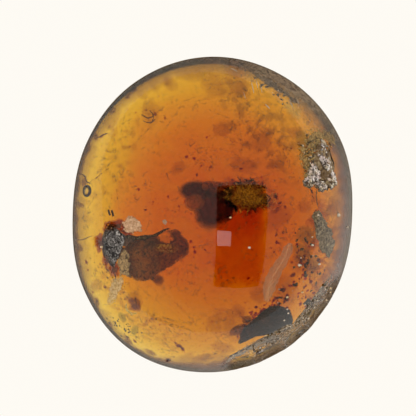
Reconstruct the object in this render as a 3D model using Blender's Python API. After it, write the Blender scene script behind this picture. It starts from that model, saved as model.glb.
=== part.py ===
"""An insect sealed in a polished pebble of clear amber.

The pebble lies on its flat back with its dome up. Its clear body is parted in two at a level
plane, and each thing that it holds lies in a pocket that opens there, or at the dome. Lengths
below are in millimetres, and the origin is the middle of the pebble's box at its lowest face.
"""
import math
import random

import bmesh
import bpy
from mathutils import Euler, Matrix, Vector, noise

MM = 0.001

# The pebble
OUTLINE_REACH = (12.4, 13.15, 13.75, 14.0, 13.6, 12.85, 12.4, 13.2, 14.05, 14.0, 13.55, 12.8)
HEIGHT = 11.5
APEX = (2.6, -1.8)
DOME_POWER = 2.05
DOME_ROUNDNESS = 0.86
BACK_POWER = 2.2
BACK_ROUNDNESS = 0.55
THICK_SIDE = math.radians(50.0)
GIRDLE_HEIGHT = 2.75
GIRDLE_SLOPE = 0.95
FLAT_SHARE = 0.78
FLAT_SLOPE = 0.085
SEGMENTS = 72
DOME_RINGS = 14
BACK_RINGS = 6

# How the pieces meet
PARTING_HEIGHT = 5.4
GAP = 0.3
POCKET_MARGIN = 0.42

# The insect: body stations from neck to tail as x, y, z, half width, half height
BODY_STATIONS = (
    (-8.10, -3.00, 5.60, 0.70, 0.45),
    (-7.25, -3.95, 5.85, 1.05, 0.70),
    (-6.60, -3.95, 6.10, 1.55, 0.90),
    (-5.90, -3.86, 6.30, 1.74, 1.02),
    (-4.90, -3.62, 6.40, 1.72, 1.08),
    (-4.00, -3.20, 6.45, 1.60, 1.05),
    (-3.20, -2.78, 6.45, 1.50, 0.98),
    (-2.50, -2.56, 6.42, 1.34, 0.86),
    (-1.90, -2.65, 6.40, 0.88, 0.60),
    (-1.45, -2.80, 6.38, 0.38, 0.28),
)
BODY_SIDES = 20
BODY_STEPS = 3
WING_CASE_SEAM = 0.16
WING_CASE_RIDGE = 0.05
SEGMENT_CREASE = 0.10
UNDERSIDE_FLATNESS = 0.8

# The charred fore-body, ground open at the dome: its outline from above
FORE_BODY = (
    (-8.92, -0.80), (-7.58, -1.87), (-7.80, -2.59), (-8.43, -4.10), (-8.65, -4.64),
    (-9.45, -3.57), (-9.63, -2.68), (-9.54, -1.87), (-9.27, -1.25),
)
FORE_BODY_FOOT = 4.55
FORE_BODY_WAIST = 5.1
FORE_BODY_FOOT_SCALE = 0.6
FORE_BODY_REACH = 9.0
FORE_BODY_SHIFT = (0.35, 0.0)

# Legs as a path and its thickness at each point
LEGS = (
    ((-7.95, -2.30, 6.10, 0.22), (-7.13, -1.92, 6.70, 0.24), (-5.53, -1.90, 7.20, 0.20),
     (-4.44, -1.70, 7.40, 0.15), (-3.70, -1.28, 7.40, 0.12), (-3.29, -1.15, 7.30, 0.07)),
    ((-4.95, -4.70, 6.10, 0.24), (-4.50, -5.20, 6.05, 0.18), (-4.00, -5.74, 6.10, 0.08)),
    ((-6.60, -3.20, 5.75, 0.22), (-6.10, -2.60, 4.95, 0.16), (-5.20, -2.90, 4.70, 0.07)),
    ((-6.50, -4.20, 5.75, 0.22), (-6.00, -4.90, 4.95, 0.16), (-5.10, -4.60, 4.70, 0.07)),
    ((-5.20, -2.90, 5.75, 0.22), (-4.50, -2.30, 4.95, 0.16), (-3.40, -2.50, 4.80, 0.07)),
    ((-5.10, -3.90, 5.75, 0.22), (-4.20, -4.20, 4.95, 0.16), (-3.10, -3.60, 4.80, 0.07)),
)
LEG_SIDES = 6

# Torn membranes that still hang on the insect: outlines from above with their heights
MEMBRANE_THICKNESS = 0.22
LOWER_MEMBRANE = (
    (-7.59, -2.76, 6.60), (-7.20, -3.02, 6.65), (-7.05, -4.06, 6.60), (-7.05, -5.20, 6.40),
    (-7.80, -5.20, 6.00), (-8.10, -4.60, 5.90), (-8.04, -3.70, 6.15),
)
UPPER_MEMBRANE = (
    (-7.85, -2.30, 6.20), (-7.95, -0.85, 6.55), (-7.41, -0.20, 6.95), (-6.87, -0.12, 7.30),
    (-6.34, -0.45, 7.60), (-5.95, -0.93, 7.85), (-6.26, -1.37, 7.65), (-6.96, -1.63, 7.20),
)

# The sunken dark body: centre, radii, turn and seed of each lobe
DARK_LOBES = (
    ((0.40, 0.20, 4.95), (1.20, 1.42, 0.85), 20.0, 3),
    ((-0.95, 1.80, 4.95), (1.25, 0.62, 0.60), -8.0, 5),
    ((1.45, 0.45, 5.00), (0.62, 1.20, 0.75), 0.0, 7),
)
DARK_LEG = ((-0.40, -0.40, 4.85, 0.16), (-0.85, -0.90, 4.80, 0.12), (-1.00, -1.40, 4.80, 0.07))

# Mottled plant debris beside it
DEBRIS_CENTRE = (3.00, 1.35, 7.20)
DEBRIS_RADII = (1.35, 1.30, 0.60)
DEBRIS_SEED = 11
TWIGS = (
    ((2.05, 0.55, 7.10, 0.16), (2.90, 1.30, 7.45, 0.14), (4.00, 1.75, 7.30, 0.10)),
    ((2.40, 2.40, 7.10, 0.14), (3.20, 1.40, 6.95, 0.14), (3.75, 0.40, 7.05, 0.09)),
    ((3.50, 2.50, 7.20, 0.13), (3.90, 1.40, 7.10, 0.12), (4.70, 0.60, 7.10, 0.07)),
)

# The black fragment's outline from above, and how it lies under the dome
FRAGMENT = (
    (4.58, -7.05), (5.34, -7.03), (6.13, -7.50), (6.65, -8.34), (6.94, -9.62), (6.13, -9.88),
    (4.87, -9.97), (3.58, -9.99), (2.54, -10.52), (2.22, -10.87), (2.35, -9.67), (2.65, -8.94),
    (3.34, -8.26), (3.93, -7.55),
)
FRAGMENT_THICKNESS = 1.1
FRAGMENT_DEPTH = 0.95
FRAGMENT_CEILING = 5.95
FRAGMENT_BEVEL = 0.86

# Flakes close under the dome: the long pale one's path and half width, the scaly one's outline
PALE_FLAKE = (
    (6.56, -2.35, 0.28), (6.40, -2.90, 0.42), (6.05, -3.60, 0.50), (5.42, -4.61, 0.55),
    (4.97, -5.62, 0.62), (4.72, -6.47, 0.50), (4.61, -7.41, 0.28),
)
PALE_FLAKE_DEPTH = 0.65
PALE_FLAKE_THICKNESS = 0.18
SCALY_FLAKE = (
    (8.82, 0.45), (9.27, 0.28), (9.72, -0.16), (9.81, -0.67), (10.38, -1.37), (10.50, -2.41),
    (10.38, -3.19), (9.94, -3.52), (9.37, -2.98), (8.91, -2.21), (8.65, -1.18),
)
SCALY_FLAKE_THICKNESS = 0.55
SCALY_FLAKE_DEPTH = 0.60
SCALE_LUMPS = 9

# The open pit and its crystals
PIT_PLACE = (9.75, 4.60)
PIT_RADII = (1.65, 2.75, 1.45)
PIT_TURN = -14.0
PIT_SEED = 17
CRUST_SHRINK = 0.40
CRUST_CROWN = 0.12
CRYSTAL_COUNT = 26
CRYSTAL_REACH = 0.72
CRYSTAL_DEPTH = 0.25
CRYSTAL_SIZES = (0.45, 0.90)

# Weathered chips along the rim: bearing in degrees, radius, depth
CHIPS = ((-80.0, 3.2, 0.40), (-68.0, 3.6, 0.50), (-55.0, 3.0, 0.45), (-44.0, 3.4, 0.50), (-33.0, 2.8, 0.35))
CHIP_SHARE = 0.955

SPREAD = random.Random(29)


# ---------------------------------------------------------------- the pebble's form

def between(values, position):
    """A smooth closed curve through evenly spaced values, read at a position counted in values."""
    count = len(values)
    start = math.floor(position)
    f = position - start
    a, b, c, d = (values[(start + step) % count] for step in (-1, 0, 1, 2))
    return 0.5 * (2 * b + (c - a) * f + (2 * a - 5 * b + 4 * c - d) * f ** 2 + (3 * b - a - 3 * c + d) * f ** 3)


def reach(angle):
    """How far the outline stands from the middle at a bearing."""
    return between(OUTLINE_REACH, angle / (2 * math.pi) * len(OUTLINE_REACH))


def bearing(segment):
    return 2 * math.pi * segment / SEGMENTS


def box_middle():
    """The middle of the outline's box, which the origin stands under."""
    corners = [Vector((math.cos(a), math.sin(a))) * reach(a) for a in map(bearing, range(SEGMENTS))]
    xs = [corner.x for corner in corners]
    ys = [corner.y for corner in corners]
    return Vector(((min(xs) + max(xs)) / 2, (min(ys) + max(ys)) / 2, 0))


MIDDLE = box_middle()


def girdle(angle):
    """Height of the widest line at a bearing."""
    return GIRDLE_HEIGHT + GIRDLE_SLOPE * math.cos(angle - THICK_SIDE)


def dome_point(share, angle):
    """A point of the dome, from its apex at share 0 to the widest line at share 1."""
    lean = 1 - share * share
    out = share * reach(angle)
    rise = (1 - share ** DOME_POWER) ** DOME_ROUNDNESS
    return Vector((
        APEX[0] * lean + out * math.cos(angle),
        APEX[1] * lean + out * math.sin(angle),
        girdle(angle) + (HEIGHT - girdle(angle)) * rise,
    )) - MIDDLE


def back_point(share, angle):
    """A point of the underside, from the widest line at share 1 to its middle at share 0."""
    flat = FLAT_SHARE - FLAT_SLOPE * math.cos(angle - THICK_SIDE)
    edge = max(0.0, (share - flat) / (1 - flat))
    out = share * reach(angle)
    drop = 1 - (1 - edge ** BACK_POWER) ** BACK_ROUNDNESS
    return Vector((out * math.cos(angle), out * math.sin(angle), girdle(angle) * drop)) - MIDDLE


def dome_height(x, y):
    """Height of the dome above a place."""
    low, high = 0.0, 1.0
    for _ in range(30):
        share = (low + high) / 2
        lean = 1 - share * share
        dx = x + MIDDLE.x - APEX[0] * lean
        dy = y + MIDDLE.y - APEX[1] * lean
        angle = math.atan2(dy, dx)
        if math.hypot(dx, dy) > share * reach(angle):
            low = share
        else:
            high = share
    return dome_point(share, angle).z


def dome_normal(x, y):
    step = 0.05
    along_x = dome_height(x + step, y) - dome_height(x - step, y)
    along_y = dome_height(x, y + step) - dome_height(x, y - step)
    return Vector((-along_x, -along_y, 2 * step)).normalized()


# ---------------------------------------------------------------- making solids

def solid(name, shell):
    """A new object from a bmesh in millimetres, with its faces pointing out."""
    bmesh.ops.recalc_face_normals(shell, faces=shell.faces)
    bmesh.ops.scale(shell, vec=(MM, MM, MM), verts=shell.verts)
    mesh = bpy.data.meshes.new(name)
    shell.to_mesh(mesh)
    shell.free()
    made = bpy.data.objects.new(name, mesh)
    bpy.context.scene.collection.objects.link(made)
    return made


def skin(name, rings):
    """A closed solid over a run of rings; a ring of one point is a pole, and an open end gets a cap."""
    shell = bmesh.new()
    rows = [[shell.verts.new(point) for point in ring] for ring in rings]
    for lower, upper in zip(rows, rows[1:]):
        count = max(len(lower), len(upper))
        for i in range(count):
            j = (i + 1) % count
            corners = [lower[i % len(lower)], lower[j % len(lower)], upper[j % len(upper)], upper[i % len(upper)]]
            shell.faces.new(dict.fromkeys(corners))
    for end in (rows[0], rows[-1]):
        if len(end) > 2:
            shell.faces.new(end)
    return solid(name, shell)


def limb(name, path):
    """A thin tapering rod through points that carry its half thickness."""
    points = [Vector(stop[:3]) for stop in path]
    rings = []
    for i, stop in enumerate(path):
        along = (points[min(i + 1, len(points) - 1)] - points[max(i - 1, 0)]).normalized()
        turn = along.to_track_quat("Z", "Y")
        ring = []
        for side in range(LEG_SIDES):
            a = 2 * math.pi * side / LEG_SIDES
            ring.append(points[i] + turn @ Vector((math.cos(a), math.sin(a), 0)) * stop[3])
        rings.append(ring)
    return skin(name, rings)


def lump(name, centre, radii, turn, seed, detail=2, roughness=0.16, crown=1.0):
    """An uneven ellipsoid; turn is a rotation matrix, and crown flattens its upper side."""
    shell = bmesh.new()
    bmesh.ops.create_icosphere(shell, subdivisions=detail, radius=1.0)
    offset = Vector((seed * 3.1, seed * 1.7, seed * 0.9))
    for vert in shell.verts:
        swell = 1 + roughness * noise.noise(vert.co * 1.9 + offset)
        stretched = Vector(co * radius for co, radius in zip(vert.co * swell, radii))
        if stretched.z > 0:
            stretched.z *= crown
        vert.co = Vector(centre) + turn @ stretched
    return solid(name, shell)


def sheet(name, outline, thickness):
    """A thin piece on a bent outline of x, y, z."""
    lift = Vector((0, 0, thickness / 2))
    corners = [Vector(point) for point in outline]
    return skin(name, [[corner - lift for corner in corners], [corner + lift for corner in corners]])


def prism(name, outline, foot, top, foot_scale=1.0, top_scale=1.0, steps=1):
    """A solid between two level outlines, each shrunk about the middle by its own scale."""
    middle = sum((Vector(point) for point in outline), Vector((0, 0))) / len(outline)
    rings = []
    for step in range(steps + 1):
        f = step / steps
        scale = foot_scale + (top_scale - foot_scale) * f
        z = foot + (top - foot) * f
        rings.append([(middle + (Vector(point) - middle) * scale).to_3d() + Vector((0, 0, z)) for point in outline])
    return skin(name, rings)


def carve(body, tools, operation):
    """Joins tools to a body, cuts them from it or keeps what they share, then removes the tools."""
    for tool in tools:
        step = body.modifiers.new(operation.title(), "BOOLEAN")
        step.operation = operation
        step.solver = "EXACT"
        step.object = tool
    bpy.context.view_layer.update()
    shape = body.evaluated_get(bpy.context.evaluated_depsgraph_get())
    mesh = bpy.data.meshes.new_from_object(shape)
    body.modifiers.clear()
    body.data = mesh
    for tool in tools:
        bpy.data.objects.remove(tool)
    return body


def drape(piece, depth, ceiling=HEIGHT):
    """Lifts a piece made about level 0 to a depth under the dome, but not above a ceiling."""
    for vert in piece.data.vertices:
        x, y = vert.co.x / MM, vert.co.y / MM
        vert.co.z += min(ceiling, dome_height(x, y) - depth) * MM


def pocket(name, *solids, down_to=None):
    """A cutter that stands clear of the solids all round: their shared hull, grown outwards."""
    shell = bmesh.new()
    for piece in solids:
        for vert in piece.data.vertices:
            place = vert.co / MM
            shell.verts.new(place)
            if down_to is not None:
                shell.verts.new((place.x, place.y, down_to))
    hull = bmesh.ops.convex_hull(shell, input=shell.verts)
    spare = {g for g in hull["geom_interior"] + hull["geom_unused"] if isinstance(g, bmesh.types.BMVert)}
    bmesh.ops.delete(shell, geom=list(spare), context="VERTS")
    shell.normal_update()
    for place in [vert.co + vert.normal * POCKET_MARGIN for vert in shell.verts]:
        shell.verts.new(place)
    hull = bmesh.ops.convex_hull(shell, input=shell.verts)
    spare = {g for g in hull["geom_interior"] + hull["geom_unused"] if isinstance(g, bmesh.types.BMVert)}
    bmesh.ops.delete(shell, geom=list(spare), context="VERTS")
    cutter = solid(name, shell)
    cutter.hide_render = True
    cutter.display_type = "WIRE"
    return cutter


def finish(piece, color, roughness, metallic=0.0, smooth_below=30.0):
    """Gives a piece its own material and shading."""
    material = bpy.data.materials.new(piece.name)
    material.use_nodes = True
    shader = material.node_tree.nodes["Principled BSDF"]
    shader.inputs["Base Color"].default_value = (*color, 1.0)
    shader.inputs["Roughness"].default_value = roughness
    shader.inputs["Metallic"].default_value = metallic
    piece.data.materials.clear()
    piece.data.materials.append(material)
    piece.data.shade_smooth()
    piece.data.set_sharp_from_angle(angle=math.radians(smooth_below))
    return shader


def finish_clear(piece):
    """Clear honey-coloured amber."""
    shader = finish(piece, (1.0, 1.0, 1.0), 0.02)
    shader.inputs["Transmission Weight"].default_value = 1.0
    shader.inputs["IOR"].default_value = 1.54
    tree = shader.id_data
    depth = tree.nodes.new("ShaderNodeVolumeAbsorption")
    depth.inputs["Color"].default_value = (0.927, 0.744, 0.0, 1.0)
    depth.inputs["Density"].default_value = 1000.0
    tree.links.new(depth.outputs["Volume"], tree.nodes["Material Output"].inputs["Volume"])


# ---------------------------------------------------------------- the pieces

def pebble(name):
    """The whole pebble as one closed solid."""
    rings = [[dome_point(0.0, 0.0)]]
    for step in range(1, DOME_RINGS + 1):
        share = math.sin(math.pi / 2 * step / DOME_RINGS)
        rings.append([dome_point(share, bearing(i)) for i in range(SEGMENTS)])
    rim = 1 - (FLAT_SHARE - FLAT_SLOPE)
    for step in range(1, BACK_RINGS + 1):
        share = 1 - rim * (1 - math.cos(math.pi / 2 * step / BACK_RINGS))
        rings.append([back_point(share, bearing(i)) for i in range(SEGMENTS)])
    rings.append([back_point(0.0, 0.0)])
    return skin(name, rings)


def half(name, side):
    """The pebble above the parting plane for side 1, or below it for side -1."""
    whole = pebble(name)
    shell = bmesh.new()
    shell.from_mesh(whole.data)
    parting = (PARTING_HEIGHT + side * GAP / 2) * MM
    everything = shell.verts[:] + shell.edges[:] + shell.faces[:]
    cut = bmesh.ops.bisect_plane(
        shell, geom=everything, plane_co=(0, 0, parting), plane_no=(0, 0, -side), clear_outer=True)
    rim = [g for g in cut["geom_cut"] if isinstance(g, bmesh.types.BMEdge)]
    bmesh.ops.edgenet_fill(shell, edges=rim)
    bmesh.ops.recalc_face_normals(shell, faces=shell.faces)
    shell.to_mesh(whole.data)
    shell.free()
    return whole


def insect_body():
    """Wing cases over a segmented belly, as one loft from neck to tail."""
    rings = []
    last = len(BODY_STATIONS) - 1
    for step in range(last * BODY_STEPS + 1):
        i, part = divmod(step, BODY_STEPS)
        f = part / BODY_STEPS
        here = BODY_STATIONS[i]
        there = BODY_STATIONS[min(i + 1, last)]
        x, y, z, wide, high = (a + (b - a) * f for a, b in zip(here, there))
        crease = SEGMENT_CREASE if part == 1 else 0.0
        ring = []
        for side in range(BODY_SIDES):
            a = 2 * math.pi * side / BODY_SIDES
            up = math.sin(a)
            out = math.cos(a)
            if up > 0:
                grow = WING_CASE_RIDGE * (side % 2)
                seam = WING_CASE_SEAM * min(1.0, wide) if abs(out) < 0.1 else 0.0
                ring.append(Vector((x, y + (wide + grow) * out, z + (high + grow) * up - seam)))
            else:
                tuck = 1 - crease
                ring.append(Vector((x, y + wide * tuck * out, z + high * UNDERSIDE_FLATNESS * tuck * up)))
        rings.append(ring)
    return skin("insect", rings)


def fore_body():
    """The charred fore-body, narrower below, reaching past the dome."""
    middle = sum((Vector(point) for point in FORE_BODY), Vector((0, 0))) / len(FORE_BODY)
    rings = []
    for z, scale, shift in ((FORE_BODY_FOOT, FORE_BODY_FOOT_SCALE, 1.0), (FORE_BODY_WAIST, 1.0, 0.0),
                            (FORE_BODY_REACH, 1.0, 0.0)):
        moved = middle + Vector(FORE_BODY_SHIFT) * shift
        rings.append([(moved + (Vector(point) - middle) * scale).to_3d() + Vector((0, 0, z)) for point in FORE_BODY])
    return skin("fore_body", rings)


def build_insect():
    """The insect and the pockets that hold it."""
    body = insect_body()
    front = fore_body()
    lower = sheet("lower_membrane", LOWER_MEMBRANE, MEMBRANE_THICKNESS)
    upper = sheet("upper_membrane", UPPER_MEMBRANE, MEMBRANE_THICKNESS)
    legs = [limb(f"leg_{i}", path) for i, path in enumerate(LEGS)]
    pockets = [
        pocket("body_pocket", body, *legs[2:]),
        pocket("front_pocket", front),
        pocket("lower_membrane_pocket", lower),
        pocket("upper_membrane_pocket", upper),
        pocket("upper_leg_pocket", legs[0]),
        pocket("lower_leg_pocket", legs[1]),
    ]
    carve(front, [pebble("ground_face")], "INTERSECT")
    carve(body, [front, lower, upper, *legs], "UNION")
    finish(body, (0.12, 0.055, 0.03), 0.45)
    return pockets


def build_dark_body():
    """A dark lobed body sunk deep in the amber."""
    lobes = []
    for i, (centre, radii, turn, seed) in enumerate(DARK_LOBES):
        lobes.append(lump(f"dark_lobe_{i}", centre, radii, Matrix.Rotation(math.radians(turn), 3, "Z"), seed))
    leg = limb("dark_leg", DARK_LEG)
    pockets = [pocket(f"dark_pocket_{i}", lobe) for i, lobe in enumerate(lobes)]
    pockets.append(pocket("dark_leg_pocket", leg))
    body = lobes[0]
    body.name = "dark_body"
    carve(body, [*lobes[1:], leg], "UNION")
    finish(body, (0.10, 0.045, 0.04), 0.6)
    return pockets


def build_debris():
    """A tangle of mottled plant matter with twigs through it."""
    tangle = lump("plant_debris", DEBRIS_CENTRE, DEBRIS_RADII, Matrix.Identity(3), DEBRIS_SEED, roughness=0.4)
    twigs = [limb(f"twig_{i}", path) for i, path in enumerate(TWIGS)]
    pockets = [pocket("debris_pocket", tangle, *twigs, down_to=PARTING_HEIGHT)]
    carve(tangle, twigs, "UNION")
    finish(tangle, (0.25, 0.15, 0.04), 0.7)
    return pockets


def build_fragment():
    """A flat black fragment of charred plant."""
    middle = sum((Vector(point) for point in FRAGMENT), Vector((0, 0))) / len(FRAGMENT)
    rings = []
    for z, scale in ((-FRAGMENT_THICKNESS, FRAGMENT_BEVEL), (-FRAGMENT_THICKNESS / 2, 1.0), (0.0, FRAGMENT_BEVEL)):
        outline = [middle + (Vector(point) - middle) * scale for point in FRAGMENT]
        rings.append([Vector((*point, z)) for point in outline])
    fragment = skin("black_fragment", [*rings, [Vector((*middle, 0.05))]])
    drape(fragment, FRAGMENT_DEPTH, FRAGMENT_CEILING)
    finish(fragment, (0.02, 0.018, 0.016), 0.5)
    return [pocket("fragment_pocket", fragment)]


def build_pale_flake():
    """A long thin flake that lies along the dome."""
    rings = []
    last = len(PALE_FLAKE) - 1
    for i, (x, y, half_width) in enumerate(PALE_FLAKE):
        before = Vector(PALE_FLAKE[max(i - 1, 0)][:2])
        after = Vector(PALE_FLAKE[min(i + 1, last)][:2])
        along = (after - before).normalized()
        across = Vector((-along.y, along.x, 0)) * half_width
        half_thickness = Vector((0, 0, PALE_FLAKE_THICKNESS / 2))
        place = Vector((x, y, -PALE_FLAKE_THICKNESS / 2))
        rings.append([place - across - half_thickness, place + across - half_thickness,
                      place + across + half_thickness, place - across + half_thickness])
    flake = skin("pale_flake", rings)
    drape(flake, PALE_FLAKE_DEPTH)
    finish(flake, (0.55, 0.42, 0.36), 0.6)
    return [pocket("pale_flake_pocket", flake, down_to=PARTING_HEIGHT)]


def build_scaly_flake():
    """A grey flake with lumps on its upper face."""
    flake = prism("scaly_flake", SCALY_FLAKE, -SCALY_FLAKE_THICKNESS, 0.0, 0.8, 0.95)
    middle = sum((Vector(point) for point in SCALY_FLAKE), Vector((0, 0))) / len(SCALY_FLAKE)
    lumps = []
    for i in range(SCALE_LUMPS):
        corner = Vector(SCALY_FLAKE[i % len(SCALY_FLAKE)])
        place = middle.lerp(corner, SPREAD.uniform(0.3, 0.6))
        radius = SPREAD.uniform(0.28, 0.42)
        centre = (*place, -0.28)
        lumps.append(lump(f"scale_{i}", centre, (radius, radius, 0.4), Matrix.Identity(3), 20 + i, detail=1))
    drape(flake, SCALY_FLAKE_DEPTH)
    holder = pocket("scaly_flake_pocket", flake)
    for scale in lumps:
        drape(scale, SCALY_FLAKE_DEPTH)
    carve(flake, lumps, "UNION")
    finish(flake, (0.30, 0.30, 0.22), 0.7)
    return [holder]


def pit_frame():
    """Where the pit opens, and the turn that lays a lump against the dome there."""
    mouth = Vector((*PIT_PLACE, dome_height(*PIT_PLACE)))
    lean = dome_normal(*PIT_PLACE).to_track_quat("Z", "Y").to_matrix()
    return mouth, lean


def build_pit():
    """The crystal crust of the open pit, and the cutter of the pit itself."""
    mouth, lean = pit_frame()
    long_axis = lean.inverted() @ Vector((math.sin(math.radians(-PIT_TURN)), math.cos(math.radians(-PIT_TURN)), 0))
    twist = Matrix.Rotation(math.atan2(-long_axis.x, long_axis.y), 3, "Z")
    turn = lean @ twist
    cutter = lump("pit", mouth, PIT_RADII, turn, PIT_SEED, roughness=0.3)
    cutter.hide_render = True
    cutter.display_type = "WIRE"
    smaller = [radius - CRUST_SHRINK for radius in PIT_RADII]
    crust = lump("pit_crystals", mouth, smaller, turn, PIT_SEED, roughness=0.3, crown=CRUST_CROWN)
    crystals = []
    for i in range(CRYSTAL_COUNT):
        a = SPREAD.uniform(0, 2 * math.pi)
        out = math.sqrt(SPREAD.random()) * CRYSTAL_REACH
        place = Vector((math.cos(a) * out * smaller[0], math.sin(a) * out * smaller[1], -CRYSTAL_DEPTH))
        size = SPREAD.uniform(*CRYSTAL_SIZES)
        shell = bmesh.new()
        bmesh.ops.create_cube(shell, size=size)
        tumble = Euler([SPREAD.uniform(0, math.pi) for _ in range(3)]).to_matrix()
        for vert in shell.verts:
            vert.co = mouth + turn @ place + tumble @ vert.co
        crystals.append(solid(f"crystal_{i}", shell))
    carve(crust, crystals, "UNION")
    finish(crust, (0.62, 0.60, 0.58), 0.3, metallic=0.8, smooth_below=20.0)
    return cutter


def build_chips():
    """Cutters of the shallow weathered scoops along the rim."""
    scoops = []
    for i, (degrees, radius, depth) in enumerate(CHIPS):
        place = dome_point(CHIP_SHARE, math.radians(degrees))
        inward = dome_point(CHIP_SHARE - 0.03, math.radians(degrees))
        sideways = dome_point(CHIP_SHARE, math.radians(degrees + 2.0))
        normal = (sideways - place).cross(inward - place).normalized()
        centre = place + normal * (radius - depth)
        scoops.append(lump(f"chip_{i}", centre, (radius,) * 3, Matrix.Identity(3), 40 + i, roughness=0.04))
    return scoops


def build():
    for old in list(bpy.data.objects):
        bpy.data.objects.remove(old)
    cutters = build_insect()
    cutters += build_dark_body()
    cutters += build_debris()
    cutters += build_fragment()
    cutters += build_pale_flake()
    cutters += build_scaly_flake()
    cutters.append(build_pit())
    cutters += build_chips()
    for name, side in (("amber_base", -1), ("amber_top", 1)):
        clear = half(name, side)
        copies = [cutter.copy() for cutter in cutters]
        for copy in copies:
            bpy.context.scene.collection.objects.link(copy)
        carve(clear, copies, "DIFFERENCE")
        finish_clear(clear)
    for cutter in cutters:
        bpy.data.objects.remove(cutter)


build()
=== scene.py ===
"""Insect in amber: the looks of a polished amber pebble and of all that is sealed in it."""
import math

import bmesh
import bpy
from mathutils import Matrix, Vector, noise


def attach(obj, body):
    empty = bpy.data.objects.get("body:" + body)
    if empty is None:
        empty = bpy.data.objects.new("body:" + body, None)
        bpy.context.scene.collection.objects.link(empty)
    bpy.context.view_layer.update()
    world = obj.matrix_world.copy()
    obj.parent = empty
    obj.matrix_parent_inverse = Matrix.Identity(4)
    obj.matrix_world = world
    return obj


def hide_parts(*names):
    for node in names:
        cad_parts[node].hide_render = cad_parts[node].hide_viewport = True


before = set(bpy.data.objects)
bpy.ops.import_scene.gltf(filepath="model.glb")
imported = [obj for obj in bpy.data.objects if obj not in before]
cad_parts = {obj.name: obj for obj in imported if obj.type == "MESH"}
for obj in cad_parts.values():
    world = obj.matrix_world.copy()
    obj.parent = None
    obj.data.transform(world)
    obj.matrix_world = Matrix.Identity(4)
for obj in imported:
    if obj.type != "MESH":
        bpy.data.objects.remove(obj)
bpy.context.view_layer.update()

bl_info = {
    "name": "Insect in Amber",
    "version": (1, 0, 0),
    "blender": (4, 5, 0),
    "location": "View3D > Sidebar > Amber",
    "description": "Builds a clear amber pebble with an insect, plant debris and crystals sealed in it",
    "category": "Object",
}

MM = 0.001

# The pebble's form, in millimetres, as its solids have it
OUTLINE_REACH = (12.4, 13.15, 13.75, 14.0, 13.6, 12.85, 12.4, 13.2, 14.05, 14.0, 13.55, 12.8)
HEIGHT = 11.5
APEX = (2.6, -1.8)
DOME_POWER = 2.05
DOME_ROUNDNESS = 0.86
BACK_POWER = 2.2
BACK_ROUNDNESS = 0.55
THICK_SIDE = math.radians(50.0)
GIRDLE_HEIGHT = 2.75
GIRDLE_SLOPE = 0.95
FLAT_SHARE = 0.78
FLAT_SLOPE = 0.085
OUTLINE_STEPS = 72
# The clear piece's lower edge is a little crisper round this bearing
CRISP_SIDE = math.radians(130.0)
CRISP_EDGE = 0.08
CRISP_SPREAD = 1.35

# The eye that the pebble is seen by: its place over the girdle plane, in millimetres
EYE = Vector((-0.357, 0.624, 208.2))
SIGHT_PLANE = 2.2
AMBER_IOR = 1.54
# How many times each search for a place on or under the dome closes in on it
HEIGHT_TRIES = 24
SIGHT_TRIES = 6
DEPTH_TRIES = 4


# ---------------------------------------------------------------- the pebble's form

def smooth(a, b, c, d, f):
    """The smooth curve from b to c, read at a share f of it, that comes from a and goes on to d."""
    return 0.5 * (2 * b + (c - a) * f
                  + (2 * a - 5 * b + 4 * c - d) * f ** 2
                  + (3 * b - a - 3 * c + d) * f ** 3)


def bearings(count):
    """Evenly spaced bearings, once round."""
    return [math.tau * i / count for i in range(count)]


def at_bearing(values, angle):
    """A smooth closed curve through values at evenly spaced bearings, read at one bearing."""
    position = angle / math.tau * len(values)
    start = math.floor(position)
    around = [values[(start + step) % len(values)] for step in (-1, 0, 1, 2)]
    return smooth(*around, position - start)


def reach(angle):
    """How far the outline stands from the middle at a bearing."""
    return at_bearing(OUTLINE_REACH, angle)


def box_middle():
    """The middle of the box round the outline."""
    xs = [math.cos(a) * reach(a) for a in bearings(OUTLINE_STEPS)]
    ys = [math.sin(a) * reach(a) for a in bearings(OUTLINE_STEPS)]
    return Vector(((min(xs) + max(xs)) / 2, (min(ys) + max(ys)) / 2, 0))


MIDDLE = box_middle()


def girdle(angle):
    """Height of the widest line at a bearing."""
    return GIRDLE_HEIGHT + GIRDLE_SLOPE * math.cos(angle - THICK_SIDE)


def dome_point(share, angle):
    """A point of the dome, from its apex at share 0 to the widest line at share 1."""
    lean = 1 - share * share
    out = share * reach(angle)
    rise = max(0.0, 1 - share ** DOME_POWER) ** DOME_ROUNDNESS
    return Vector((
        APEX[0] * lean + out * math.cos(angle),
        APEX[1] * lean + out * math.sin(angle),
        girdle(angle) + (HEIGHT - girdle(angle)) * rise,
    )) - MIDDLE


def back_point(share, angle, crisper=0.0):
    """A point of the underside, from the widest line at share 1 to its middle at share 0."""
    flat = FLAT_SHARE - FLAT_SLOPE * math.cos(angle - THICK_SIDE) + crisper
    edge = max(0.0, (share - flat) / (1 - flat))
    out = share * reach(angle)
    drop = 1 - max(0.0, 1 - edge ** BACK_POWER) ** BACK_ROUNDNESS
    return Vector((out * math.cos(angle), out * math.sin(angle), girdle(angle) * drop)) - MIDDLE


def crispness(angle):
    """How much further out the clear piece's flat underside reaches at a bearing."""
    return CRISP_EDGE * min(1.0, CRISP_SPREAD * max(0.0, math.cos(angle - CRISP_SIDE)))


def dome_height(x, y):
    """Height of the dome over a place."""
    low, high = 0.0, 1.0
    for _ in range(HEIGHT_TRIES):
        share = (low + high) / 2
        lean = 1 - share * share
        dx = x + MIDDLE.x - APEX[0] * lean
        dy = y + MIDDLE.y - APEX[1] * lean
        angle = math.atan2(dy, dx)
        if math.hypot(dx, dy) > share * reach(angle):
            low = share
        else:
            high = share
    return dome_point(share, angle).z


def dome_normal(x, y, step=0.05):
    """The way the dome faces over a place."""
    along_x = dome_height(x + step, y) - dome_height(x - step, y)
    along_y = dome_height(x, y + step) - dome_height(x, y - step)
    return Vector((-along_x, -along_y, 2 * step)).normalized()


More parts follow.
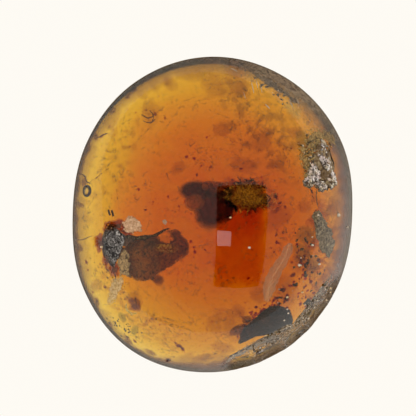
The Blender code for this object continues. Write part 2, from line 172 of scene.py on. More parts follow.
# Chips out of the rim: bearing in degrees, radius and depth
CHIPS = (
    (-80.0, 3.2, 0.40), (-68.0, 3.6, 0.50), (-55.0, 3.0, 0.45), (-44.0, 3.4, 0.50), (-33.0, 2.8, 0.35),
)
CHIP_SHARE = 0.955


def chip_balls():
    """Centre and radius of each weathered scoop along the rim."""
    balls = []
    for degrees, radius, depth in CHIPS:
        place = dome_point(CHIP_SHARE, math.radians(degrees))
        inward = dome_point(CHIP_SHARE - 0.03, math.radians(degrees))
        sideways = dome_point(CHIP_SHARE, math.radians(degrees + 2.0))
        normal = (sideways - place).cross(inward - place).normalized()
        balls.append((place + normal * (radius - depth), radius))
    return balls


CHIP_BALLS = chip_balls()


def worn(place, depth):
    """Moves a place that a chip has taken away to a depth under the chip's own surface."""
    for centre, radius in CHIP_BALLS:
        away = place - centre
        if away.length < radius + depth:
            place = centre + away.normalized() * (radius + depth)
    return place


def on_dome(x, y, lift=0.0):
    """The dome's point that the eye sees at a place of the sight plane, raised along its normal."""
    goal = Vector((x, y, SIGHT_PLANE))
    spot = goal.copy()
    for _ in range(SIGHT_TRIES):
        height = dome_height(spot.x, spot.y)
        spot = goal.lerp(EYE, (height - SIGHT_PLANE) / (EYE.z - SIGHT_PLANE))
    return spot + dome_normal(spot.x, spot.y) * lift


def sunk(x, y, z):
    """The true place, at a height, of what the eye sees through the dome at a place of the sight plane."""
    spot = on_dome(x, y)
    if z >= spot.z:
        return spot
    normal = dome_normal(spot.x, spot.y)
    ray = (spot - EYE).normalized()
    turn = 1 / AMBER_IOR
    fall = -ray.dot(normal)
    bent = ray * turn + normal * (turn * fall - math.sqrt(1 - turn * turn * (1 - fall * fall)))
    return spot + bent * ((spot.z - z) / -bent.z)


def under(x, y, depth, ceiling=HEIGHT):
    """The true place, at a depth under the dome, of what the eye sees at a place of the sight plane."""
    spot = on_dome(x, y)
    height = min(ceiling, spot.z - depth)
    for _ in range(DEPTH_TRIES):
        spot = sunk(x, y, height)
        height = min(ceiling, dome_height(spot.x, spot.y) - depth)
    return Vector((spot.x, spot.y, height))


# ---------------------------------------------------------------- shapes

def skinned(rings, loop=False):
    """Points and faces over a run of rings; a ring of one point is a pole, and an open end gets a cap."""
    points = [point for ring in rings for point in ring]
    starts = [0]
    for ring in rings:
        starts.append(starts[-1] + len(ring))
    faces = []
    for row in range(len(rings) if loop else len(rings) - 1):
        after = (row + 1) % len(rings)
        low, high = len(rings[row]), len(rings[after])
        count = max(low, high)
        for i in range(count):
            j = (i + 1) % count
            corners = (starts[row] + i % low, starts[row] + j % low,
                       starts[after] + j % high, starts[after] + i % high)
            faces.append(tuple(dict.fromkeys(corners)))
    for row in () if loop else (0, len(rings) - 1):
        if len(rings[row]) > 2:
            faces.append(tuple(starts[row] + i for i in range(len(rings[row]))))
    return points, faces


def limb(path, sides=10):
    """A round tapering rod through stops of x, y, z and half thickness."""
    points = [Vector(stop[:3]) for stop in path]
    rings = []
    for i, stop in enumerate(path):
        along = (points[min(i + 1, len(points) - 1)] - points[max(i - 1, 0)]).normalized()
        turn = along.to_track_quat("Z", "Y")
        rings.append([points[i] + turn @ Vector((math.cos(a), math.sin(a), 0)) * stop[3]
                      for a in bearings(sides)])
    return skinned([[points[0]], *rings, [points[-1]]])


def eased(path, steps):
    """More stops on a smooth curve through a path's own stops."""
    stops = [Vector(stop[:3]) for stop in path]
    sizes = [stop[3] for stop in path]
    finer = []
    last = len(path) - 1
    for i in range(last):
        around = [stops[min(max(i + k, 0), last)] for k in (-1, 0, 1, 2)]
        for step in range(steps):
            f = step / steps
            finer.append((*smooth(*around, f), sizes[i] + (sizes[i + 1] - sizes[i]) * f))
    finer.append(tuple(path[-1]))
    return finer


def rough(spot, fineness, depth, seed, octaves=4):
    """Layered noise from about -depth to depth at a place."""
    offset = Vector((seed * 3.1, seed * 1.7, seed * 0.9))
    return depth * noise.fractal(spot * fineness + offset, 1.0, 2.0, octaves)


def lump(centre, radii, turn=None, seed=1, detail=4, roughness=0.2, fineness=1.6):
    """An uneven ellipsoid."""
    shell = bmesh.new()
    bmesh.ops.create_icosphere(shell, subdivisions=detail, radius=1.0)
    turn = turn or Matrix.Identity(3)
    points = []
    for vert in shell.verts:
        swell = 1 + rough(vert.co, fineness, roughness, seed)
        stretched = Vector([co * radius for co, radius in zip(vert.co * swell, radii)])
        points.append(Vector(centre) + turn @ stretched)
    faces = [tuple(vert.index for vert in face.verts) for face in shell.faces]
    shell.free()
    return points, faces


def ragged(outline, spacing, wander, seed):
    """A finer outline whose edge wanders."""
    finer = []
    for i, start in enumerate(outline):
        end = outline[(i + 1) % len(outline)]
        steps = max(1, round((Vector(end) - Vector(start)).length / spacing))
        finer += [Vector(start).lerp(Vector(end), step / steps) for step in range(steps)]
    moved = []
    for point in finer:
        drift = Vector((rough(Vector((point.x, point.y, 1)), 2.3, wander, seed),
                        rough(Vector((point.x, point.y, 9)), 2.3, wander, seed)))
        moved.append(point + drift)
    return moved


def slab(outline, level, thickness, seed=1, spacing=0.1, wander=0.08, relief=0.1, fineness=2.0,
         bluntness=4, rings=9):
    """A closed uneven plate. Level gives its height at a place, relief how rough its faces are."""
    edge = ragged(outline, spacing, wander, seed)
    middle = sum(edge, Vector((0, 0))) / len(edge)
    shares = [step / rings for step in range(1, rings)]
    weights = []

    def row(share, side):
        half = thickness / 2 * math.sqrt(max(0.0, 1 - share ** bluntness))
        ring = []
        for point in edge:
            x, y = middle + (point - middle) * share
            z = level(x, y) + side * half
            z += rough(Vector((x, y, side * 3.0)), fineness, relief, seed) * (1 - share ** 8)
            ring.append(Vector((x, y, z)))
        weights.extend([1 - share] * len(ring))
        return ring

    def pole(side):
        z = level(*middle) + side * thickness / 2
        weights.append(1.0)
        return [Vector((*middle, z + rough(Vector((*middle, side * 3.0)), fineness, relief, seed)))]

    rows = [pole(1), *[row(share, 1) for share in shares], row(1.0, 0)]
    rows += [*[row(share, -1) for share in reversed(shares)], pole(-1)]
    return *skinned(rows), weights


def ribbon(path, depth, thickness=0.05, seed=1, wander=0.1, steps=8, across=6, frayed=0.5):
    """A closed strip under the dome along a seen path of x, y and half width."""
    stops = [under(x, y, depth) for x, y, _ in path]
    stops = eased([(*stop, width[2]) for stop, width in zip(stops, path)], steps)
    rows, weights = [], []
    for i, stop in enumerate(stops):
        here = Vector(stop[:2])
        before, after = Vector(stops[max(i - 1, 0)][:2]), Vector(stops[min(i + 1, len(stops) - 1)][:2])
        along = (after - before).normalized()
        aside = Vector((-along.y, along.x)) * stop[3] * (1 + rough(here.to_3d(), 2.0, frayed, seed + 3))
        here = here + Vector((-along.y, along.x)) * rough(here.to_3d(), 1.4, wander, seed)
        end = min(i, len(stops) - 1 - i) / (len(stops) - 1)
        row = []
        for step in range(2 * across):
            a = math.pi * step / across
            place = here + aside * math.cos(a)
            level = worn(Vector((*place, dome_height(*place) - depth)), depth)
            row.append(level + Vector((0, 0, thickness / 2 * math.sin(a))))
            weights.append((1 - abs(math.cos(a))) * min(1.0, 5 * end))
        rows.append(row)
    return *skinned(rows), weights


def make(name, *shapes, material=None, smooth_below=40.0):
    """One object from shapes in millimetres, with its faces pointing out."""
    points, faces, weights = [], [], []
    for shape in shapes:
        first = len(points)
        points += shape[0]
        faces += [tuple(first + i for i in face) for face in shape[1]]
        weights += shape[2] if len(shape) > 2 else [1.0] * len(shape[0])
    mesh = bpy.data.meshes.new(name)
    mesh.from_pydata([point * MM for point in points], [], faces)
    inside = mesh.attributes.new("inside", "FLOAT", "POINT")
    inside.data.foreach_set("value", weights)
    shell = bmesh.new()
    shell.from_mesh(mesh)
    bmesh.ops.recalc_face_normals(shell, faces=shell.faces)
    shell.to_mesh(mesh)
    shell.free()
    mesh.shade_smooth()
    mesh.set_sharp_from_angle(angle=math.radians(smooth_below))
    made = bpy.data.objects.new(name, mesh)
    bpy.context.scene.collection.objects.link(made)
    if material:
        mesh.materials.append(material)
    return made


def film(outline, depth, thickness=0.04, seed=1, wander=0.12, relief=0.0, rings=12, spacing=0.12):
    """A thin closed sheet under the dome within a seen outline."""
    places = [under(x, y, depth).to_2d() for x, y in outline]
    points, faces, weights = slab(places, lambda x, y: dome_height(x, y) - depth, thickness, seed=seed,
                                  spacing=spacing, wander=wander, relief=relief, rings=rings)
    return [worn(point, depth) for point in points], faces, weights


def sheet(places, level, thickness, seed, spacing=0.22, rings=44, wander=0.3, fade=3):
    """A closed sheet of varying thickness, nothing at its edge. Level and thickness are read at a place."""
    edge = ragged(places, spacing, wander, seed)
    middle = sum(edge, Vector((0, 0))) / len(edge)

    def place(point, share, side):
        x, y = middle + (point - middle) * share
        half = 0.005 + thickness(x, y) / 2 * (1 - share ** fade)
        return Vector((x, y, level(x, y) + side * half))

    shares = [step / rings for step in range(1, rings)]
    rows = [[place(middle, 0.0, 1)], *[[place(point, share, 1) for point in edge] for share in shares]]
    rows.append([place(point, 1.0, 0) for point in edge])
    rows += [[place(point, share, -1) for point in edge] for share in reversed(shares)]
    return skinned([*rows, [place(middle, 0.0, -1)]])


def mottles(fineness, seed):
    """Fine torn noise from about -1 to 1, to be read at a place."""
    shift = Vector((seed * 1.9, seed * 0.7, 0))
    return lambda x, y: noise.fractal(Vector((x, y, 0)) * fineness + shift, 0.55, 2.0, 6)


def blot(x, y, rx, ry, steps=14):
    """An oval outline."""
    return [(x + rx * math.cos(a), y + ry * math.sin(a)) for a in bearings(steps)]


def scatter(name, base, shape, density, smallest, largest, seed, material):
    """Spreads turned copies of a shape over a base, so many a square millimetre, as one plain mesh."""
    tree = bpy.data.node_groups.new(name, "GeometryNodeTree")
    face = tree.interface
    sockets = {
        "Geometry": "NodeSocketGeometry", "Shape": "NodeSocketObject", "Density": "NodeSocketFloat",
        "Smallest": "NodeSocketFloat", "Largest": "NodeSocketFloat", "Seed": "NodeSocketInt",
        "Material": "NodeSocketMaterial",
    }
    keys = {key: face.new_socket(key, in_out="INPUT", socket_type=kind).identifier
            for key, kind in sockets.items()}
    face.new_socket("Geometry", in_out="OUTPUT", socket_type="NodeSocketGeometry")
    given = tree.nodes.new("NodeGroupInput").outputs

    def step(kind, links, settings=None, **values):
        made = tree.nodes.new(kind)
        for key, value in (settings or {}).items():
            setattr(made, key, value)
        for key, value in values.items():
            made.inputs[key].default_value = value
        for key, source in links.items():
            tree.links.new(source, made.inputs[key])
        return made.outputs

    share = step("GeometryNodeInputNamedAttribute", {}, {"data_type": "FLOAT"}, Name="inside")
    crowd = step("ShaderNodeMath", {0: share["Attribute"], 1: given["Density"]},
                 {"operation": "MULTIPLY"})
    spots = step("GeometryNodeDistributePointsOnFaces",
                 {"Mesh": given["Geometry"], "Density": crowd[0], "Seed": given["Seed"]})
    copy = step("GeometryNodeObjectInfo", {"Object": given["Shape"]})
    turns = step("FunctionNodeRandomValue", {"Seed": given["Seed"]}, {"data_type": "FLOAT_VECTOR"},
                 Max=(math.tau, math.tau, math.tau))
    sizes = step("FunctionNodeRandomValue",
                 {2: given["Smallest"], 3: given["Largest"], "Seed": given["Seed"]},
                 {"data_type": "FLOAT"})
    copies = step("GeometryNodeInstanceOnPoints",
                  {"Points": spots["Points"], "Instance": copy["Geometry"], "Rotation": turns[0],
                   "Scale": sizes[1]})
    real = step("GeometryNodeRealizeInstances", {"Geometry": copies["Instances"]})
    done = step("GeometryNodeSetMaterial", {"Geometry": real["Geometry"], "Material": given["Material"]})
    tree.links.new(done["Geometry"], tree.nodes.new("NodeGroupOutput").inputs["Geometry"])

    maker = base.modifiers.new(name, "NODES")
    maker.node_group = tree
    values = {"Shape": shape, "Density": density / MM ** 2, "Smallest": smallest, "Largest": largest,
              "Seed": seed, "Material": material}
    for key, value in values.items():
        maker[keys[key]] = value
    base.update_tag()
    bpy.context.view_layer.update()
    mesh = bpy.data.meshes.new_from_object(base.evaluated_get(bpy.context.evaluated_depsgraph_get()))
    mesh.name = name
    spread = bpy.data.objects.new(name, mesh)
    bpy.context.scene.collection.objects.link(spread)
    for used in (base, shape):
        bpy.data.objects.remove(used)
    return spread


def grain(seed, roughness=0.35, radii=(0.5, 0.5, 0.5)):
    """A small uneven crumb, about a millimetre across, to be spread about."""
    return make("grain", lump((0, 0, 0), radii, seed=seed, detail=1, roughness=roughness))


def block(x, y, z):
    """A small crystal block, to be spread about."""
    ends = (-1, 1)
    corners = [Vector((i * x / 2, j * y / 2, k * z / 2)) for i in ends for j in ends for k in ends]
    sides = [(0, 1, 3, 2), (4, 6, 7, 5), (0, 4, 5, 1), (2, 3, 7, 6), (0, 2, 6, 4), (1, 5, 7, 3)]
    return make("block", (corners, sides), smooth_below=20)


def settle(piece, slot_name, *nodes):
    """Fixes a finished piece to the frame."""
    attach(piece, "root")
    if nodes:
        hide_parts(*nodes)


def tint(name, losses, *shapes, slot_name="amber"):
    """A settled piece that only stains the light that passes it."""
    settle(make(name, *shapes, material=tinted_finish(name, losses)), slot_name)


def coat(name, slot_name, shapes, dark, light, cover, scale, raggedness, look=None, **torn):
    """A settled piece of films or ribbons under a torn coat; a look is the finish's name where it differs."""
    finish = film_finish(look or name, dark, light, cover, scale, raggedness, **torn)
    settle(make(name, *shapes, material=finish), slot_name)


def puffs(places, deep, high, spin, seed, roughness, fineness):
    """Uneven ovals at seen places of x, y, two radii and a height, which is cut to a depth under the dome."""
    shapes = []
    for i, (x, y, rx, ry, z) in enumerate(places):
        spot = sunk(x, y, min(z, dome_height(x, y) - deep))
        turn = Matrix.Rotation(i * spin, 3, "Z")
        shapes.append(lump(spot, (rx, ry, high), turn, seed + i, 4, roughness, fineness))
    return shapes


# ---------------------------------------------------------------- finishes

class Signal:
    """A socket's value in a material, which Python's arithmetic extends with Math nodes."""

    def __init__(self, finish, socket):
        self.finish = finish
        self.socket = socket

    def math(self, operation, *others, clamp=False):
        """A Math node over this signal and some others."""
        values = dict(enumerate((self, *others)))
        return self.finish.node("ShaderNodeMath", {"operation": operation, "use_clamp": clamp}, values)

    def __add__(self, other):
        return self.math("ADD", other)

    __radd__ = __add__

    def __sub__(self, other):
        return self.math("SUBTRACT", other)

    def __rsub__(self, other):
        return self.finish.node("ShaderNodeMath", {"operation": "SUBTRACT"}, {0: other, 1: self})

    def __mul__(self, other):
        return self.math("MULTIPLY", other)

    __rmul__ = __mul__

    def clipped(self):
        """The value kept between 0 and 1."""
        return self.math("ADD", 0.0, clamp=True)


# Half the height of the upright ovals that places are marked with: more than the pebble's own
OVAL_HEIGHT = 99.0


class Finish:
    """A material being written: nodes go in, and surface() sets what the eye sees."""

    def __init__(self, name):
        self.material = bpy.data.materials.new(name)
        self.material.use_nodes = True
        self.tree = self.material.node_tree
        self.shader = self.tree.nodes["Principled BSDF"]
        self.place = self.node("ShaderNodeVectorMath", {"operation": "SCALE"},
                               {0: self.node("ShaderNodeTexCoord", output="Object"), "Scale": 1 / MM})

    def node(self, kind, settings=None, sockets=None, output=0):
        """Adds a node: its settings first, then the values or links of its sockets."""
        made = self.tree.nodes.new(kind)
        for key, value in (settings or {}).items():
            if key == "stops":
                ramp = made.color_ramp.elements
                while len(ramp) < len(value):
                    ramp.new(0.5)
                for element, (position, color) in zip(ramp, value):
                    element.position = position
                    element.color = (*color, 1.0)
            else:
                setattr(made, key, value)
        for key, value in (sockets or {}).items():
            self.feed(made.inputs[key], value)
        return Signal(self, made.outputs[output])

    def feed(self, socket, value):
        """Links a signal to a socket, or sets its value."""
        if isinstance(value, Signal):
            self.tree.links.new(value.socket, socket)
        elif socket.type == "RGBA" and len(value) == 3:
            socket.default_value = (*value, 1.0)
        else:
            socket.default_value = value

    def mix(self, factor, first, second):
        """A colour between two others."""
        made = self.tree.nodes.new("ShaderNodeMix")
        made.data_type = "RGBA"
        self.feed(made.inputs[0], factor)
        self.feed(made.inputs[6], first)
        self.feed(made.inputs[7], second)
        return Signal(self, made.outputs[2])

    def noise(self, scale, detail=3.0, roughness=0.55, distortion=0.0, place=None):
        """Noise with about this many features a millimetre."""
        return self.node("ShaderNodeTexNoise", {}, {
            "Vector": place or self.place, "Scale": scale, "Detail": detail,
            "Roughness": roughness, "Distortion": distortion})

    def cells(self, scale, feature="F1"):
        """Distances in a field of about this many random cells a millimetre."""
        return self.node("ShaderNodeTexVoronoi", {"feature": feature}, {
            "Vector": self.place, "Scale": scale}, output="Distance")

    def attribute(self, name):
        """What the mesh says of each of its points."""
        return self.node("ShaderNodeAttribute", {"attribute_name": name}, output="Fac")

    def step(self, value, low, high):
        """0 below low, 1 above high, smooth between; low may be above high."""
        return self.node("ShaderNodeMapRange", {"interpolation_type": "SMOOTHSTEP"}, {
            "Value": value, "From Min": low, "From Max": high})

    def ramp(self, value, *stops):
        """A colour read from stops of position and colour."""
        return self.node("ShaderNodeValToRGB", {"stops": stops}, {"Fac": value}, output="Color")

    def near(self, x, y, z, rx, ry, soft=0.5):
        """1 inside an upright oval at a place in millimetres, falling to 0 at its edge."""
        moved = self.node("ShaderNodeVectorMath", {"operation": "SUBTRACT"}, {
            0: self.place, 1: (x, y, z)})
        sized = self.node("ShaderNodeVectorMath", {"operation": "DIVIDE"}, {
            0: moved, 1: (rx, ry, OVAL_HEIGHT)})
        away = self.node("ShaderNodeVectorMath", {"operation": "LENGTH"}, {0: sized}, output="Value")
        return self.step(away, 1.0, 1.0 - soft)

    def within(self, ovals, soft=0.5):
        """1 inside any of some upright ovals, falling to 0 at their edges."""
        cover, *others = [self.near(*oval, soft=soft) for oval in ovals]
        for other in others:
            cover = cover.math("MAXIMUM", other)
        return cover

    def bumped(self, height, strength, distance):
        """A surface made uneven by a height, over a distance in millimetres."""
        return self.node("ShaderNodeBump", {}, {
            "Height": height, "Strength": strength, "Distance": distance * MM}, output="Normal")

    def surface(self, **sockets):
        """Sets the shader's sockets; an underscore stands for a space."""
        for key, value in sockets.items():
            self.feed(self.shader.inputs[key.replace("_", " ")], value)
        return self.material


def absorb(finish, losses):
    """Gives a material depth: how much red, green and blue light is lost in a metre."""
    dense = max(losses)
    depth = finish.node("ShaderNodeVolumeAbsorption", {}, {
        "Color": [1 - loss / dense for loss in losses], "Density": dense}, output="Volume")
    finish.tree.links.new(depth.socket, finish.tree.nodes["Material Output"].inputs["Volume"])


def amber_finish(looks):
    """Clear amber: its colour is in its depth, and only worn places are dull."""
    finish = Finish("clear_amber")
    worn = finish.attribute("worn")
    pits = finish.noise(5.0, 5.0, 0.65) + 0.5 * finish.cells(7.0)
    absorb(finish, looks.absorption)
    return finish.surface(
        Base_Color=finish.mix(worn, (1.0, 1.0, 1.0), (0.93, 0.90, 0.84)),
        Roughness=0.02 + 0.33 * worn,
        Transmission_Weight=1.0,
        IOR=AMBER_IOR,
        Normal=finish.bumped(pits * worn, 0.5, 0.35))


def tinted_finish(name, losses):
    """A cloud, a flow or a lens of painted shade in the amber: it bends no light, and only stains what
    passes.
    """
    finish = Finish(name)
    absorb(finish, losses)
    return finish.surface(Base_Color=(1.0, 1.0, 1.0), Roughness=0.0, Transmission_Weight=1.0, IOR=1.0)


def film_finish(name, dark, light, cover, scale, raggedness, edge=(0.30, 0.60), clear=0.0):
    """A stain or skin: thick in its middle, torn at its edge, with clear spots where noise is low."""
    finish = Finish(name)
    tears = finish.noise(scale, 5.0, 0.65, 0.8)
    fine = finish.noise(scale * 3.3, 4.0, 0.65)
    mask = finish.step(finish.attribute("inside") + raggedness * (tears - 0.5), *edge)
    holes = finish.step(fine, 0.40, 0.55)
    alpha = mask * (1 - clear + clear * holes) * cover
    color = finish.mix(finish.step(fine * 0.6 + tears * 0.4, 0.40, 0.60), dark, light)
    return finish.surface(Base_Color=color, Roughness=0.6, Alpha=alpha.clipped(),
                          Normal=finish.bumped(fine, 0.6, 0.08))


def charred_finish():
    """Ground-open charred chitin, black, with painted highlights: silvery worm-like glints and specks in its
    colour.
    """
    finish = Finish("charred_fore_body")
    grain = finish.noise(4.0, 6.0, 0.7, 1.0)
    wander = finish.noise(2.3, 3.0, 0.6, 1.6)
    # Painted highlights: white worm-like glints and fine specks, mixed into the base colour
    painted_glint_worms = finish.step((wander - 0.5).math("ABSOLUTE"), 0.045, 0.012)
    crowd = finish.step(finish.noise(1.2, 2.0, 0.5), 0.36, 0.50)
    painted_glint_specks = finish.step(finish.noise(9.0, 3.0, 0.6), 0.62, 0.72)
    mask = (painted_glint_worms * crowd).math("MAXIMUM", 0.7 * painted_glint_specks * crowd)
    color = finish.ramp(grain, (0.40, (0.003, 0.003, 0.004)), (0.58, (0.030, 0.031, 0.035)),
                        (0.74, (0.16, 0.16, 0.18)))
    return finish.surface(
        Base_Color=finish.mix(mask, color, (0.96, 0.97, 1.0)),
        Roughness=0.5 - 0.15 * mask,
        Specular_IOR_Level=0.2,
        Normal=finish.bumped(grain + 0.8 * mask, 0.9, 0.14))


# Marks on the insect's back as seen: place, depth under the dome, and radii across and along
BACK_SHADE = (-5.4, -2.55, 3.0, 1.3, 0.6)
BACK_STREAKS = (-4.1, -2.95, 3.2, 1.4, 0.48)
BACK_WINDOW = (-4.05, -2.05, 3.0, 1.25, 0.80)


def chitin_finish(looks):
    """Brown body wall with yellow streaks, clear in one window where the wall is gone."""
    finish = Finish("brown_chitin")

    def marked(mark, soft=0.5):
        return finish.near(*under(*mark[:3]), *mark[3:], soft=soft)

    broad = finish.noise(0.8, 3.0, 0.6, 0.6)
    fine = finish.noise(3.6, 5.0, 0.7, 0.5)
    mixed = broad * 0.6 + fine * 0.4
    color = finish.mix(finish.step(mixed, 0.42, 0.58), looks.chitin_dark, looks.chitin_light)
    color = finish.mix(0.85 * finish.step(fine, 0.47, 0.38), color, (0.03, 0.010, 0.006))
    color = finish.mix(0.7 * marked(BACK_SHADE, 0.7), color, (0.035, 0.015, 0.010))
    streaks = marked(BACK_STREAKS) * finish.step(finish.noise(2.8, 4.0, 0.7, 1.8), 0.47, 0.53)
    color = finish.mix(0.95 * streaks, color, (1.0, 0.84, 0.42))
    freckles = finish.step(finish.noise(6.0, 3.0, 0.6, 1.0), 0.60, 0.68)
    color = finish.mix(0.6 * freckles, color, (0.60, 0.32, 0.12))
    rags = finish.step(marked(BACK_WINDOW, 0.9) + 1.6 * (fine - 0.5), 0.25, 0.65)
    torn = finish.attribute("inside") + 0.5 * (broad - 0.5) + 0.4 * (fine - 0.5)
    cover = finish.step(torn, -0.05, 0.16) - 0.85 * rags
    return finish.surface(Base_Color=color, Roughness=0.42, Alpha=cover.clipped(),
                          Normal=finish.bumped(fine, 0.6, 0.08))


# Where the dark body shows, and its paler patches: place, and radii across and along
DARK_PATCHES = (
    (0.35, 0.20, 4.95, 1.40, 1.75), (-0.95, 1.80, 4.95, 1.45, 0.85), (1.35, 0.50, 5.0, 0.95, 1.45),
)
PALE_PATCHES = (
    (-0.95, 0.85, 5.0, 0.85, 0.75), (-0.15, 2.05, 5.0, 0.35, 0.35), (0.5, 2.15, 5.0, 0.4, 0.5),
)


def soft_body_finish():
    """A dark body whose edges fade into the amber, with paler patches."""
    finish = Finish("sunken_body")
    pale = finish.within(PALE_PATCHES)
    cover = finish.within(DARK_PATCHES, soft=0.55).math("MAXIMUM", 0.8 * pale)
    drift = finish.noise(0.9, 4.0, 0.6)
    color = finish.mix(finish.step(drift, 0.4, 0.6), (0.20, 0.035, 0.045), (0.11, 0.018, 0.022))
    color = finish.mix(pale, color, (1.0, 0.84, 0.38))
    return finish.surface(Base_Color=color, Roughness=0.7,
                          Alpha=(cover * (0.96 - 0.25 * pale)).clipped(),
                          Normal=finish.bumped(drift, 0.5, 0.15))


def leg_finish():
    """Dark legs with silvery glints."""
    finish = Finish("dark_legs")
    grain = finish.noise(6.0, 3.0, 0.6)
    color = finish.mix(finish.step(grain, 0.4, 0.65), (0.012, 0.010, 0.012), (0.10, 0.06, 0.05))
    glints = finish.step(finish.noise(4.5, 4.0, 0.7, 1.0), 0.56, 0.66)
    color = finish.mix(0.8 * glints, color, (0.75, 0.72, 0.74))
    return finish.surface(Base_Color=color, Roughness=0.22, Normal=finish.bumped(grain, 0.4, 0.04))


def membrane_finish(name, pale, dark, scale):
    """Crumpled skin: pale ridges, darker folds, torn at its edge."""
    finish = Finish(name)
    folds = finish.noise(scale, 5.0, 0.7, 1.2)
    veins = finish.step(finish.cells(scale * 0.8, "DISTANCE_TO_EDGE"), 0.08, 0.01)
    color = finish.mix(finish.step(folds, 0.36, 0.58), dark, pale)
    color = finish.mix(0.5 * veins, color, dark)
    inside = finish.attribute("inside")
    cover = finish.step(inside + 0.9 * (folds - 0.5), 0.0, 0.16)
    return finish.surface(Base_Color=color, Roughness=0.55, Alpha=cover,
                          Normal=finish.bumped(folds - 0.5 * veins, 0.8, 0.10))


def mottled_finish(name, dark, mid, light, scale, roughness=0.65, bump=0.12):
    """Three colours in uneven patches."""
    finish = Finish(name)
    patches = finish.noise(scale, 5.0, 0.65, 0.6)
    fine = finish.noise(scale * 4, 3.0, 0.6)
    color = finish.ramp(patches + 0.35 * fine - 0.17, (0.36, dark), (0.52, mid), (0.68, light))
    return finish.surface(Base_Color=color, Roughness=roughness,
                          Normal=finish.bumped(patches + 0.4 * fine, 0.7, bump))


def pale_flake_finish():
    """A thin milky flake that the amber's colour shows through."""
    finish = Finish("pale_flake")
    streaks = finish.noise(2.4, 5.0, 0.7, 1.0)
    spots = finish.step(finish.noise(3.4, 3.0, 0.6), 0.66, 0.72)
    inside = finish.attribute("inside")
    color = finish.mix(spots, (0.74, 0.58, 0.40), (0.20, 0.06, 0.04))
    cover = finish.step(inside + 0.6 * (streaks - 0.5), 0.0, 0.22) * (0.12 + 0.38 * streaks)
    return finish.surface(Base_Color=color, Roughness=0.8, Alpha=(cover + 0.4 * spots * inside).clipped(),
                          Specular_IOR_Level=0.1, Normal=finish.bumped(streaks, 0.5, 0.08))


# Where the plant debris shows, and the reddish end of the charred fragment: place, and radii across and along
DEBRIS_OVAL = (3.0, 1.35, 7.15, 1.65, 1.5)
REDDISH_OVAL = (2.6, -9.9, 4.6, 1.6, 1.4)


def debris_finish():
    """Rotten plant matter: olive and ochre crumbs with dark ones between, gone in places."""
    finish = Finish("plant_debris")
    broad = finish.noise(0.8, 4.0, 0.6, 0.5)
    fine = finish.noise(3.2, 5.0, 0.7)
    crumbs = finish.ramp(fine, (0.38, (0.26, 0.07, 0.012)), (0.47, (0.85, 0.34, 0.035)),
                         (0.60, (1.0, 0.62, 0.12)))
    dark = finish.step(broad, 0.56, 0.66)
    color = finish.mix(0.8 * dark, crumbs, (0.22, 0.06, 0.015))
    middle = finish.near(*DEBRIS_OVAL, soft=0.6)
    cover = finish.step(middle + 1.2 * (finish.noise(2.2, 5.0, 0.7) - 0.5), 0.18, 0.60)
    return finish.surface(Base_Color=color, Roughness=0.7, Alpha=(0.80 * cover).clipped(),
                          Normal=finish.bumped(fine, 0.8, 0.15))


def charcoal_finish():
    """Charred plant: black, with a faint grain and a few glints."""
    finish = Finish("charred_plant")
    stretched = finish.node("ShaderNodeVectorMath", {"operation": "MULTIPLY"}, {
        0: finish.place, 1: (1.2, 3.5, 3.0)})
    grain = finish.noise(1.0, 5.0, 0.65, 0.5, place=stretched)
    glints = finish.step(finish.noise(5.5, 3.0, 0.6), 0.70, 0.76)
    color = finish.ramp(grain, (0.35, (0.010, 0.008, 0.008)), (0.60, (0.035, 0.026, 0.022)))
    color = finish.mix(finish.near(*REDDISH_OVAL), color, (0.055, 0.022, 0.020))
    color = finish.mix(0.8 * glints, color, (0.55, 0.50, 0.42))
    cover = finish.step(finish.attribute("inside") + 0.35 * (finish.noise(2.6, 5.0, 0.7) - 0.5), -0.02, 0.07)
    return finish.surface(Base_Color=color, Roughness=0.45, Alpha=cover,
                          Normal=finish.bumped(grain, 0.8, 0.15))


def crystal_finish(name, metal, tint, roughness, gaps=0.0):
    """Dully shining crystals in two tints, with dark gaps between them where told."""
    finish = Finish(name)
    color = finish.mix(finish.step(finish.noise(0.9, 3.0, 0.6), 0.45, 0.6), metal, tint)
    gap = gaps * finish.step(finish.noise(2.6, 4.0, 0.7), 0.53, 0.46)
    color = finish.mix(gap, color, (0.035, 0.028, 0.020))
    return finish.surface(Base_Color=color, Metallic=0.35, Roughness=roughness,
                          Normal=finish.bumped(finish.noise(9.0, 3.0, 0.6), 0.4, 0.03))


# ---------------------------------------------------------------- settings

class AmberLooks(bpy.types.PropertyGroup):
    """Colours and clearness of the amber and of what it holds."""
    absorption: bpy.props.FloatVectorProperty(
        name="Absorption", description="How much red, green and blue light is lost in a metre of amber",
        size=3, default=(66.0, 195.0, 900.0), min=0.0)
    flow: bpy.props.FloatVectorProperty(
        name="Flow Absorption", description="What the orange flow in the middle adds to the absorption",
        size=3, default=(12.0, 104.0, 196.0), min=0.0)
    # The heart is painted shade: a red lens that darkens the middle of the flow
    heart: bpy.props.FloatVectorProperty(
        name="Heart Absorption", description="What the red heart of the flow adds to the absorption",
        size=3, default=(85.0, 330.0, 400.0), min=0.0)
    chitin_dark: bpy.props.FloatVectorProperty(
        name="Dark Chitin", description="The insect's darker body wall", subtype="COLOR",
        size=3, default=(0.24, 0.058, 0.018), min=0.0, max=1.0)
    chitin_light: bpy.props.FloatVectorProperty(
        name="Light Chitin", description="The insect's lighter body wall", subtype="COLOR",
        size=3, default=(0.52, 0.18, 0.055), min=0.0, max=1.0)


class AmberSizes(bpy.types.PropertyGroup):
    """How finely the pieces are cut."""
    segments: bpy.props.IntProperty(
        name="Segments", description="Steps round the pebble", default=192, min=48, max=384)
    dome_rings: bpy.props.IntProperty(
        name="Dome Rings", description="Steps from the rim to the top", default=60, min=12, max=120)
    back_rings: bpy.props.IntProperty(
        name="Back Rings", description="Steps round the lower edge", default=40, min=8, max=80)
    insect_lift: bpy.props.FloatProperty(
        name="Ground Face", description="How far the charred face stands proud of the polish",
        default=0.00003, min=0.0, unit="LENGTH")


